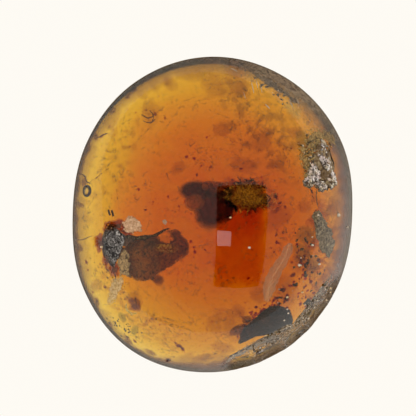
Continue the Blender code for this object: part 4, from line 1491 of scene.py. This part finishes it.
def rim_skin():
    """A thin closed ring just inside the surface, round the whole rim."""

    def layer(angle, depth):
        bearing = Vector((math.cos(angle), math.sin(angle), 0))
        width = at_bearing(SKIN_WIDTH, angle) * (1 + rough(bearing * 6, 1.0, 0.25, 61))
        start = 1 - width / reach(angle)
        places = [(dome_point(share, angle), (share - start) / (1 - start)) for share in rim_shares(start)]
        for step in range(1, SKIN_ROWS + 1):
            t = step / SKIN_ROWS
            places.append((back_point(1 - 0.13 * (1 - math.cos(math.pi / 2 * t)), angle), 1 - 0.6 * t))
        return [(drawn_in(place, depth), weight) for place, weight in places]

    rows, weights = [], []
    for angle in bearings(SKIN_SEGMENTS):
        around = layer(angle, SKIN_TOP) + layer(angle, SKIN_BOTTOM)[::-1]
        rows.append([place for place, _ in around])
        weights += [weight for _, weight in around]
    return *skinned(rows, loop=True), weights


def skin_and_shade_finish():
    """The dull skin of the rim, partly weathered and partly painted shade: warm brown, olive in patches, grey
    where the grey attribute says, and a dark line of painted shade at its widest line.
    """
    finish = Finish("rim_skin")
    broad = finish.noise(0.40, 4.0, 0.6, 0.4)
    fine = finish.noise(2.2, 6.0, 0.72, 0.6)
    grey = finish.attribute("grey")
    color = finish.mix(finish.step(broad, 0.45, 0.55), (0.22, 0.12, 0.05), (0.20, 0.16, 0.07))
    # The grey is crust on the lower right and painted reflection on the upper right
    color = finish.mix(0.85 * grey, color, (0.42, 0.32, 0.22))
    color = finish.mix(0.6 * finish.step(fine, 0.50, 0.62), color, (0.55, 0.44, 0.32))
    color = finish.mix(0.8 * finish.step(fine, 0.48, 0.38), color, (0.05, 0.030, 0.015))
    inside = finish.attribute("inside")
    ragged_edge = inside + 1.1 * (fine - 0.5) + 0.6 * (broad - 0.5)
    cover = finish.step(ragged_edge, 0.0, 0.9) * (0.05 + 0.70 * grey)
    # Painted shade: a dark line along the widest line of the rim
    line = 0.85 * finish.step(inside + 0.10 * (fine - 0.5), 0.90, 0.99)
    color = finish.mix(line, color, (0.12, 0.075, 0.035))
    cover = cover.math("MAXIMUM", line)
    return finish.surface(Base_Color=color, Roughness=0.8, Alpha=cover.clipped(), Specular_IOR_Level=0.15,
                          Normal=finish.bumped(fine, 0.5, 0.1))


def rim_tint(reaches, deepest, seed):
    """A closed ring of painted shade inside the rim, thin where it begins on the dome and thickest at the
    edge.
    """
    rows = []
    for angle in bearings(SKIN_SEGMENTS):
        bearing = Vector((math.cos(angle), math.sin(angle), 0)) * RIM_MEAN
        width = at_bearing(reaches, angle)
        width *= 1 + rough(bearing, 0.35, 0.35, seed) + rough(bearing, 1.6, 0.30, seed + 1)
        row = [dome_point(share, angle) for share in rim_shares(1 - max(0.15, width) / reach(angle))]
        low = back_point(1 - deepest, angle)
        row.append(back_point(1 - deepest * 0.3, angle))
        row += [low, low.lerp(row[0], 0.35), low.lerp(row[0], 0.7)]
        rows.append([drawn_in(place, TINT_DEPTH) for place in row])
    return skinned(rows, loop=True)


# Each patch on the dome: name, slot, outline, depth, thickness, seed, how far its edge wanders, then its
# dark and light colour, cover, fineness and raggedness, and how it is torn
PATCHES = (
    ("chipped_patch", "amber", WHITE_AREA, 0.05, 0.04, 35, 0.25,
     ((0.30, 0.24, 0.18), (0.90, 0.82, 0.70), 0.8, 2.6, 1.6), {"clear": 0.6}),
    ("yellow_patch", "amber", YELLOW_PATCH, 0.01, 0.04, 36, 0.3,
     ((0.60, 0.40, 0.10), (0.85, 0.65, 0.20), 0.28, 1.6, 1.2), {"edge": (0.15, 0.7)}),
    ("orange_patch", "amber", ORANGE_PATCH, 0.12, 0.04, 37, 0.15,
     ((0.25, 0.10, 0.03), (0.60, 0.28, 0.08), 0.8, 2.4, 1.2), {"edge": (0.15, 0.6)}),
    ("pale_strip", "insect", STRIP, 0.01, 0.04, 38, 0.12,
     ((0.60, 0.45, 0.20), (0.95, 0.78, 0.48), 0.64, 1.6, 0.9), {"edge": (0.0, 0.4), "clear": 0.4}),
)


class AMBER_OT_skin(bpy.types.Operator):
    """Make the painted shade round the rim and its dull skin, which is partly painted shade as well, the
    crusts and chips, and the patches on the dome
    """
    bl_idname = "amber.skin"
    bl_label = "Rim Skin"

    def execute(self, context):
        # Painted shade: a brown ring, blots and a darker ring that darken the amber round the rim
        tint("rim_tint", (880.0, 1180.0, 1250.0), rim_tint(RIM_SHADE_REACH, 0.02, 71))
        tint("rim_blots", (1200.0, 1600.0, 1500.0), *puffs(RIM_SHADE_BLOTS, 0.8, 0.4, 0.9, 150, 0.6, 2.0))
        tint("rim_line", (1700.0, 2300.0, 2900.0), rim_tint(RIM_SHADE_LINE, 0.04, 75))
        skin = make("rim_skin", rim_skin(), material=skin_and_shade_finish())
        grey = skin.data.attributes.new("grey", "FLOAT", "POINT")
        grey.data.foreach_set("value", [
            at_bearing(SKIN_GREY, math.atan2(vert.co.y, vert.co.x)) for vert in skin.data.vertices])
        settle(skin, "amber")

        crust = ribbon(CRUST_LINE, 0.14, 0.08, seed=33, wander=0.2, across=8)
        coat("rim_crust", "amber", [crust], (0.05, 0.035, 0.012), (0.24, 0.18, 0.06), 0.90, 3.0, 2.4,
             look="olive_crust", clear=0.4)
        chipped = ribbon(CHIPPED_LINE, 0.04, 0.05, seed=34, wander=0.15)
        coat("chipped_line", "amber", [chipped], (0.45, 0.36, 0.26), (0.95, 0.88, 0.76), 0.95, 3.0, 1.6,
             look="chipped_edge")
        band = film(CHIP_BAND, 0.02, seed=32, wander=0.3, spacing=0.1)
        coat("chipped_band", "amber", [band], (0.06, 0.030, 0.012), (0.50, 0.39, 0.25), 0.75, 3.4, 1.5,
             edge=(0.10, 0.45), clear=0.75)
        knot = make("rim_knot", film(blot(4.19, -12.22, 0.55, 0.50), 0.0, 0.3, seed=42, relief=0.1))
        metal = crystal_finish("rim_crystals", (0.80, 0.78, 0.80), (0.06, 0.05, 0.05), 0.3)
        crystals = scatter("rim_crystals", knot, block(1.0, 0.7, 0.5), 26.0, 0.10, 0.26, 6, metal)
        settle(crystals, "crystals")

        for name, slot_name, outline, depth, thickness, seed, wander, looks, torn in PATCHES:
            patch = film(outline, depth, thickness, seed=seed, wander=wander)
            coat(name, slot_name, [patch], *looks, **torn)
        leaf = film(LEAF, 0.40, 0.40, seed=39, wander=0.2, relief=0.15)
        tint("leaf_bit", (2200.0, 3600.0, 5200.0), leaf, slot_name="plant_debris")
        # Painted highlight: a bright yellow ribbon along the leaf bit's edge stands in for a glint
        edge = ribbon(LEAF_GLINT, 0.02, 0.04, seed=43, wander=0.04, frayed=0.2)
        coat("leaf_edge", "plant_debris", [edge], (0.75, 0.50, 0.08), (1.0, 0.85, 0.30), 0.8, 2.4, 0.5,
             edge=(0.0, 0.3))
        chip = film(PALE_CHIP, 0.02, 0.06, seed=40, wander=0.05)
        coat("pale_chip", "pale_flake", [chip], (0.50, 0.34, 0.22), (0.72, 0.54, 0.42), 0.7, 2.4, 0.8,
             edge=(0.0, 0.3))

        halos = [lump(under(x, y, 0.75), (rx, ry, 0.50), None, 141 + i, 4, 0.5, 2.2)
                 for i, (x, y, rx, ry) in enumerate(RED_STAINS)]
        tint("rust_halos", (1500.0, 2900.0, 4200.0), *halos)
        stains = [film(blot(x, y, 0.6 * rx, 0.6 * ry), 0.05, seed=41 + i, wander=0.2)
                  for i, (x, y, rx, ry) in enumerate(RED_STAINS)]
        coat("red_stains", "insect", stains, (0.08, 0.018, 0.006), (0.30, 0.09, 0.02), 0.7, 3.0, 1.5,
             edge=(0.20, 0.95))
        return {"FINISHED"}


# How deep each layer of specks lies under the dome, and how far out the haze and the specks go
SPECK_DEPTHS = (0.4, 1.2, 2.6)
SPREAD_SHARE = 0.93
SPREAD_STEPS = 48
# The haze: depth under the dome, fineness, cover and seed
HAZE_DEPTH = 0.7
HAZE_SCALE = 1.6
HAZE_COVER = 0.34
HAZE_SEED = 101

MASS_FIELD = (
    (0.30, 2.90), (1.20, 3.40), (2.68, 3.55), (4.10, 3.30), (5.20, 2.80), (6.10, 1.90), (6.95, 0.90),
    (5.60, 0.10), (4.10, 0.20), (3.21, -0.20), (2.14, 0.10), (1.10, 1.00), (0.30, 1.60),
)
# Fogs' outlines as seen
UPPER_RIGHT = (
    (0.50, 12.60), (3.50, 12.20), (6.50, 10.60), (8.70, 7.60), (9.40, 4.50), (8.00, 2.20), (5.00, 2.60),
    (2.40, 4.20), (0.40, 7.50),
)
RIGHT_SIDE = (
    (8.80, 2.60), (10.60, 2.20), (11.20, 0.20), (11.10, -2.80), (10.50, -6.00), (9.20, -7.60),
    (8.30, -5.50), (8.10, -2.40),
)
LEFT_SIDE = (
    (-8.80, 8.60), (-6.60, 10.40), (-5.20, 8.40), (-7.20, 4.00), (-8.40, 0.60), (-9.60, -0.40),
    (-11.40, -1.20), (-11.60, 2.00), (-9.80, 5.20),
)
LOWER_LEFT = (
    (-11.00, -3.40), (-9.60, -4.60), (-7.40, -6.20), (-4.60, -8.60), (-1.20, -10.60), (-2.60, -12.80),
    (-6.40, -11.10), (-9.00, -8.60), (-10.60, -6.00),
)
# Each fog: name, outline, depth, greatest thickness, fineness, amount and the light lost in a metre
FOGS = (
    ("upper_right_fog", UPPER_RIGHT, 1.4, 2.6, 1.2, 0.08, (440.0, 480.0, 240.0)),
    ("right_fog", RIGHT_SIDE, 1.1, 2.0, 1.3, 0.25, (700.0, 1150.0, 1250.0)),
    ("left_fog", LEFT_SIDE, 0.9, 1.4, 1.5, 0.00, (380.0, 540.0, 460.0)),
    ("lower_left_fog", LOWER_LEFT, 0.8, 1.4, 1.9, -0.02, (560.0, 860.0, 700.0)),
    ("mass_fog", MASS_FIELD, 1.6, 2.4, 1.3, 0.35, (560.0, 800.0, 600.0)),
)


def haze_finish(name):
    """Fine brown mottling that hardly dims the amber."""
    finish = Finish(name)
    moved = finish.node("ShaderNodeVectorMath", {"operation": "ADD"}, {
        0: finish.place, 1: (HAZE_SEED, 0.0, 0.0)})
    broad = finish.noise(HAZE_SCALE, 6.0, 0.72, 1.2, place=moved)
    where = finish.noise(HAZE_SCALE * 0.3, 2.0, 0.5, place=moved)
    cover = finish.step(broad, 0.50, 0.72) * (0.25 + finish.step(where, 0.42, 0.62)) * HAZE_COVER
    return finish.surface(Base_Color=(0.16, 0.055, 0.02), Roughness=0.8, Alpha=cover.clipped())


# Fields of crumbs as seen outlines
RIGHT_FIELD = (
    (6.96, -0.62), (8.38, -0.27), (9.27, -2.23), (10.52, -4.19), (10.88, -6.69), (9.81, -8.65),
    (8.20, -9.18), (7.13, -7.58), (6.06, -7.58), (5.35, -8.47), (5.71, -6.69), (6.96, -4.90), (7.85, -3.12),
    (6.78, -2.05),
)
FRAGMENT_FIELD = (
    (1.90, -10.40), (2.40, -9.40), (3.10, -8.50), (4.00, -7.90), (5.10, -7.40), (6.42, -7.30),
    (7.30, -8.00), (7.30, -8.90), (6.50, -8.50), (5.20, -8.50), (4.30, -9.00), (3.60, -9.80),
    (3.20, -10.80), (2.50, -11.30),
)
LOWER_LEFT_FIELD = (
    (-9.63, -8.11), (-8.20, -9.01), (-6.42, -9.54), (-5.53, -10.26), (-6.24, -11.33), (-7.85, -11.15),
    (-9.27, -10.08), (-10.17, -8.83),
)
CHIP_BAND = (
    (0.89, -13.00), (2.50, -12.04), (4.46, -10.97), (6.51, -9.90), (8.29, -9.54), (9.45, -8.29),
    (10.40, -6.87), (11.00, -5.08), (11.35, -4.19), (11.55, -4.90), (10.90, -6.80), (9.90, -8.45),
    (8.35, -10.15), (6.35, -11.55), (4.36, -12.60), (2.50, -13.20),
)
CRUST_FIELD = (
    (2.50, 13.20), (4.46, 12.60), (6.24, 11.40), (7.70, 10.20), (8.20, 9.60), (7.60, 9.18), (6.42, 9.90),
    (4.99, 10.97), (3.75, 11.50), (2.68, 12.22), (2.14, 12.80),
)
PIT_FRINGE = (
    (7.49, 6.69), (8.11, 7.22), (9.45, 7.49), (10.52, 7.22), (11.00, 6.20), (10.20, 6.00), (9.40, 5.90),
    (8.90, 5.00), (8.60, 4.00), (8.50, 2.80), (7.85, 2.76), (8.03, 4.01), (7.76, 4.90), (7.22, 5.62),
)
MIDDLE_FIELD = blot(0.0, 1.0, 8.0, 9.0, 24)
# Each spread of crumbs: name, outline, depth, density, smallest, largest, colour kind
CRUMBS = (
    ("right_dark_crumbs", RIGHT_FIELD, 0.45, 3.0, 0.10, 0.42, "red"),
    ("middle_crumbs", MIDDLE_FIELD, 1.00, 0.35, 0.10, 0.40, "red"),
    ("right_pale_crumbs", RIGHT_FIELD, 0.02, 0.8, 0.05, 0.20, "pale"),
    ("right_olive_crumbs", RIGHT_FIELD, 0.80, 1.2, 0.10, 0.45, "olive"),
    ("fragment_crumbs", FRAGMENT_FIELD, 0.60, 18.0, 0.12, 0.50, "red"),
    ("mass_crumbs", MASS_FIELD, 2.60, 5.0, 0.20, 0.70, "brown"),
    ("mass_ochre_crumbs", MASS_FIELD, 0.40, 2.4, 0.06, 0.26, "ochre"),
    ("lower_left_crumbs", LOWER_LEFT_FIELD, 0.60, 5.0, 0.05, 0.24, "olive"),
    ("crust_crumbs", CRUST_FIELD, 0.25, 5.0, 0.06, 0.30, "olive"),
    ("crust_pale_crumbs", CRUST_FIELD, 0.02, 1.2, 0.04, 0.16, "pale"),
    ("pit_crumbs", PIT_FRINGE, 0.02, 5.0, 0.08, 0.34, "olive"),
    ("pit_ochre_crumbs", PIT_FRINGE, 0.02, 4.0, 0.08, 0.30, "ochre"),
    ("pit_pale_crumbs", PIT_FRINGE, 0.0, 2.0, 0.06, 0.24, "pale"),
    ("chip_pale_crumbs", CHIP_BAND, 0.05, 4.0, 0.05, 0.26, "pale"),
    ("chip_dark_crumbs", CHIP_BAND, 0.05, 3.0, 0.06, 0.34, "olive"),
)
CRUMB_COLOURS = {
    "black": ((0.008, 0.005, 0.004), (0.03, 0.012, 0.006), (0.10, 0.04, 0.01)),
    "ochre": ((0.16, 0.05, 0.01), (0.50, 0.22, 0.03), (0.85, 0.50, 0.10)),
    "olive": ((0.03, 0.025, 0.008), (0.12, 0.09, 0.03), (0.34, 0.26, 0.10)),
    "pale": ((0.45, 0.38, 0.28), (0.78, 0.70, 0.56), (1.0, 0.97, 0.88)),
}
# Light lost in a metre of the crumbs that let some through
CRUMB_LOSSES = {
    "red": (6000.0, 16000.0, 20000.0),
    "brown": (1500.0, 2600.0, 3600.0),
}
# Painted glints: small white lumps that stand proud of the dome in place of highlights; place and radius as
# seen
SPARKLES = (
    (9.45, 0.00, 0.12), (11.24, 0.00, 0.18), (8.92, -2.68, 0.11), (8.92, -1.96, 0.07), (3.34, -2.90, 0.11),
    (1.65, -0.22, 0.09), (6.69, -7.31, 0.12), (7.76, -4.46, 0.14), (9.54, -4.37, 0.11),
    (12.04, -1.07, 0.09), (6.69, -8.38, 0.09), (6.78, -8.74, 0.09), (6.42, -9.36, 0.09),
    (4.82, -10.70, 0.10), (10.52, -6.51, 0.12), (8.03, -6.87, 0.09), (8.56, -9.18, 0.11),
    (10.17, -7.58, 0.10), (10.52, -6.87, 0.09), (-9.80, -2.85, 0.14),
)
# Scratches and dark cracks as seen: stops of x, y and half width
SCRATCHES = (
    ((3.48, 11.95, 0.02), (3.62, 11.40, 0.05), (3.75, 10.79, 0.02)),
    ((3.92, 12.04, 0.02), (4.02, 11.60, 0.05), (4.10, 11.15, 0.02)),
    ((4.28, 11.68, 0.02), (4.38, 11.30, 0.05), (4.46, 10.88, 0.02)),
    ((4.73, 9.90, 0.02), (4.93, 9.70, 0.06), (5.17, 9.45, 0.03)),
    ((2.76, 10.97, 0.02), (2.90, 10.65, 0.04), (3.03, 10.34, 0.02)),
    ((7.40, 10.61, 0.02), (7.60, 10.25, 0.06), (7.76, 9.90, 0.03)),
    ((1.61, 13.11, 0.02), (2.00, 12.95, 0.07), (2.32, 12.75, 0.03)),
    ((6.90, 10.20, 0.02), (7.10, 9.80, 0.05), (7.30, 9.40, 0.02)),
)
CRACKS = (
    ((-8.65, -5.08, 0.07), (-8.61, -5.71, 0.05), (-8.63, -6.24, 0.03)),
    ((9.36, 2.41, 0.04), (9.31, 1.52, 0.05), (9.40, 0.71, 0.04)),
    ((-10.43, 6.82, 0.05), (-9.90, 7.04, 0.08), (-9.27, 7.31, 0.04)),
    ((-11.90, 3.70, 0.05), (-11.35, 3.45, 0.10), (-11.20, 3.00, 0.08), (-10.80, 2.80, 0.04)),
    ((-10.70, -1.87, 0.04), (-11.41, -2.14, 0.05), (-12.13, -2.23, 0.04)),
    ((-6.30, 9.00, 0.04), (-5.70, 8.65, 0.07), (-5.05, 8.95, 0.04)),
    ((-6.20, 8.45, 0.04), (-5.50, 8.20, 0.07), (-5.00, 8.60, 0.04)),
    ((-5.60, 9.40, 0.03), (-5.25, 8.90, 0.06), (-5.35, 8.30, 0.03)),
)
# Two short dark rods side by side, just under the dome: their ends as seen
RODS = (((-9.24, 0.46), (-9.10, -0.02)), ((-8.94, 0.42), (-8.80, -0.10)))


class AMBER_OT_crumbs(bpy.types.Operator):
    """Make the spreads of crumbs, the white glints, the scratches and the cracks"""
    bl_idname = "amber.crumbs"
    bl_label = "Crumbs and Scratches"

    def execute(self, context):
        kinds = {kind: mottled_finish(f"{kind}_crumbs", *colors, scale=3.0, roughness=0.5)
                 for kind, colors in CRUMB_COLOURS.items()}
        kinds |= {kind: tinted_finish(f"{kind}_crumbs", losses) for kind, losses in CRUMB_LOSSES.items()}
        for i, (name, outline, depth, density, smallest, largest, kind) in enumerate(CRUMBS):
            base = make("crumb_sheet", film(outline, depth, seed=110 + i, wander=0.3, relief=0.1))
            shape = grain(120 + i, 0.6, (0.6, 0.45, 0.3))
            settle(scatter(name, base, shape, density, smallest, largest, i, kinds[kind]), "plant_debris")
        # Painted highlights: small white lumps with a crystal finish stand in for glints on the dome
        glints = [lump(on_dome(x, y, 0.03), (r, r * 0.8, r * 0.5), None, i, 2, 0.5)
                  for i, (x, y, r) in enumerate(SPARKLES)]
        silver = crystal_finish("white_glints", (1.0, 0.97, 0.86), (1.0, 0.84, 0.50), 0.15)
        settle(make("white_glints", *glints, material=silver), "plant_debris")
        scratches = [ribbon(path, -0.005, 0.02, seed=i, wander=0.02, across=3)
                     for i, path in enumerate(SCRATCHES)]
        coat("scratches", "amber", scratches, (0.60, 0.48, 0.34), (0.90, 0.80, 0.66), 0.55, 3.0, 0.4,
             edge=(0.0, 0.3))
        cracks = [ribbon(path, 0.10, 0.05, seed=20 + i, wander=0.06, across=3)
                  for i, path in enumerate(CRACKS)]
        coat("cracks", "amber", cracks, (0.14, 0.045, 0.012), (0.34, 0.13, 0.035), 0.75, 3.0, 0.8,
             edge=(0.0, 0.4))
        rods = [limb([(*under(x, y, 0.12), 0.11) for x, y in rod]) for rod in RODS]
        settle(make("dark_rods", *rods, material=kinds["black"]), "plant_debris")
        return {"FINISHED"}


def speck_crowd(spot, seed):
    """How crowded the specks are at a place: in drifts, and more so low down and to the right."""
    drift = 0.15 + 3.0 * max(0.0, rough(spot, 0.35, 1.0, seed) - 0.05)
    return drift * min(1.5, max(0.5, 1.0 - 0.06 * spot.y + 0.03 * spot.x))


class AMBER_OT_specks(bpy.types.Operator):
    """Make the haze, the fogs and the fine dark specks all through the amber"""
    bl_idname = "amber.specks"
    bl_label = "Specks"

    def execute(self, context):
        dark = tinted_finish("dark_specks", (5000.0, 16000.0, 20000.0))
        everywhere = [(reach(a) * SPREAD_SHARE * math.cos(a) - MIDDLE.x,
                       reach(a) * SPREAD_SHARE * math.sin(a) - MIDDLE.y) for a in bearings(SPREAD_STEPS)]
        name = f"haze_{HAZE_SEED}"
        haze = film(everywhere, HAZE_DEPTH, seed=HAZE_SEED, spacing=0.6, rings=30)
        settle(make(name, haze, material=haze_finish(name)), "amber")
        for i, (name, outline, depth, thickest, fineness, amount, losses) in enumerate(FOGS):
            grains = mottles(fineness, 105 + i)
            places = [under(x, y, depth).to_2d() for x, y in outline]
            tint(name, losses, sheet(
                places, lambda x, y: dome_height(x, y) - depth,
                lambda x, y: thickest * min(1.0, max(0.0, grains(x, y) + amount)), 105 + i))
        for i, depth in enumerate(SPECK_DEPTHS):
            layer = film(everywhere, depth, seed=70 + i, spacing=0.8, relief=0.2, rings=20)
            base = make("speck_sheet", layer)
            base.data.attributes["inside"].data.foreach_set("value", [
                speck_crowd(vert.co / MM, 80 + i) for vert in base.data.vertices])
            specks = scatter(f"dark_specks_{i}", base, grain(90 + i), 1.4, 0.04, 0.14, i, dark)
            settle(specks, "amber")
        return {"FINISHED"}


# ---------------------------------------------------------------- the stage

# The stage, in metres: the floor's level, and the cards' height and corners
FLOOR_LEVEL = -0.0001
CARD_HEIGHT = 0.30
WARM_CARD = ((-0.6, 0.6), (0.6, 0.6), (0.6, -0.6), (-0.6, -0.6))
DARK_CARD = ((-0.100, 0.165), (0.121, 0.187), (0.143, -0.340), (-0.144, -0.286))
LIGHT_CARD = ((-0.114, 0.005), (-0.046, 0.010), (-0.047, -0.041), (-0.115, -0.040))


# Each card over the pebble: name, corners, how much higher or lower it hangs, colour and strength
CARDS = (
    ("warm_card", WARM_CARD, 0.001, (1.0, 0.67, 0.58), 0.72),
    ("dark_card", DARK_CARD, 0.0, (0.02, 0.02, 0.02), 1.0),
    ("light_card", LIGHT_CARD, -0.001, (1.0, 0.9, 0.85), 2.6),
)


def flat_light(name, color, strength):
    """A material that glows evenly."""
    material = bpy.data.materials.new(name)
    material.use_nodes = True
    tree = material.node_tree
    tree.nodes.clear()
    glow = tree.nodes.new("ShaderNodeEmission")
    glow.inputs["Color"].default_value = (*color, 1.0)
    glow.inputs["Strength"].default_value = strength
    out = tree.nodes.new("ShaderNodeOutputMaterial")
    tree.links.new(glow.outputs["Emission"], out.inputs["Surface"])
    return material


def overhead(name, corners, height, material):
    """A card over the pebble that only its polish mirrors."""
    mesh = bpy.data.meshes.new(name)
    mesh.from_pydata([(x, y, height) for x, y in corners], [], [tuple(range(len(corners)))])
    mesh.materials.append(material)
    card = bpy.data.objects.new(name, mesh)
    bpy.context.scene.collection.objects.link(card)
    card.visible_camera = False
    card.visible_diffuse = False
    card.visible_transmission = False
    card.visible_shadow = False


class AMBER_OT_stage(bpy.types.Operator):
    """Set the pale floor, the soft light and the camera overhead"""
    bl_idname = "amber.stage"
    bl_label = "Stage"

    def execute(self, context):
        scene = context.scene
        mesh = bpy.data.meshes.new("floor")
        corners = ((-1, -1), (1, -1), (1, 1), (-1, 1))
        mesh.from_pydata([(x, y, FLOOR_LEVEL) for x, y in corners], [], [(0, 1, 2, 3)])
        mesh.materials.append(flat_light("pale_floor", (0.99, 0.96, 0.90), 1.0))
        floor = bpy.data.objects.new("floor", mesh)
        scene.collection.objects.link(floor)
        for name, corners, lift, color, strength in CARDS:
            overhead(name, corners, CARD_HEIGHT + lift, flat_light(name, color, strength))
        world = bpy.data.worlds.new("soft_tent")
        world.use_nodes = True
        sky = world.node_tree.nodes["Background"]
        sky.inputs["Color"].default_value = (1.0, 0.85, 0.70, 1.0)
        way = world.node_tree.nodes.new("ShaderNodeTexCoord")
        height = world.node_tree.nodes.new("ShaderNodeSeparateXYZ")
        # The sky is a little dimmer overhead than near the floor
        fall = world.node_tree.nodes.new("ShaderNodeMapRange")
        for key, value in {"From Min": 0.75, "From Max": 0.0, "To Min": 0.6, "To Max": 0.8}.items():
            fall.inputs[key].default_value = value
        world.node_tree.links.new(way.outputs["Generated"], height.inputs["Vector"])
        world.node_tree.links.new(height.outputs["Z"], fall.inputs["Value"])
        world.node_tree.links.new(fall.outputs["Result"], sky.inputs["Strength"])
        scene.world = world
        data = bpy.data.cameras.new("overhead_camera")
        data.lens = 200
        data.sensor_width = 36
        data.clip_start = 0.01
        data.clip_end = 5
        camera = bpy.data.objects.new("overhead_camera", data)
        camera.location = EYE * MM
        scene.collection.objects.link(camera)
        scene.camera = camera
        scene.view_settings.view_transform = "Standard"
        return {"FINISHED"}


PIECES = (
    AMBER_OT_clear_piece,
    AMBER_OT_insect,
    AMBER_OT_black_fragments,
    AMBER_OT_dark_body,
    AMBER_OT_plant_debris,
    AMBER_OT_flakes,
    AMBER_OT_pit_crystals,
    AMBER_OT_flows,
    AMBER_OT_skin,
    AMBER_OT_crumbs,
    AMBER_OT_specks,
    AMBER_OT_stage,
)


class AMBER_PT_panel(bpy.types.Panel):
    """Lists the pieces that can be made"""
    bl_label = "Insect in Amber"
    bl_idname = "AMBER_PT_panel"
    bl_space_type = "VIEW_3D"
    bl_region_type = "UI"
    bl_category = "Amber"

    def draw(self, context):
        for piece in PIECES:
            self.layout.operator(piece.bl_idname)


def register():
    for cls in (AmberLooks, AmberSizes, *PIECES, AMBER_PT_panel):
        bpy.utils.register_class(cls)
    bpy.types.Scene.amber_looks = bpy.props.PointerProperty(type=AmberLooks)
    bpy.types.Scene.amber_sizes = bpy.props.PointerProperty(type=AmberSizes)


def unregister():
    del bpy.types.Scene.amber_looks
    del bpy.types.Scene.amber_sizes
    for cls in reversed((AmberLooks, AmberSizes, *PIECES, AMBER_PT_panel)):
        bpy.utils.unregister_class(cls)


def main():
    """Builds every piece in order."""
    register()
    for piece in PIECES:
        family, action = piece.bl_idname.split(".")
        getattr(getattr(bpy.ops, family), action)()


if __name__ == "__main__":
    main()
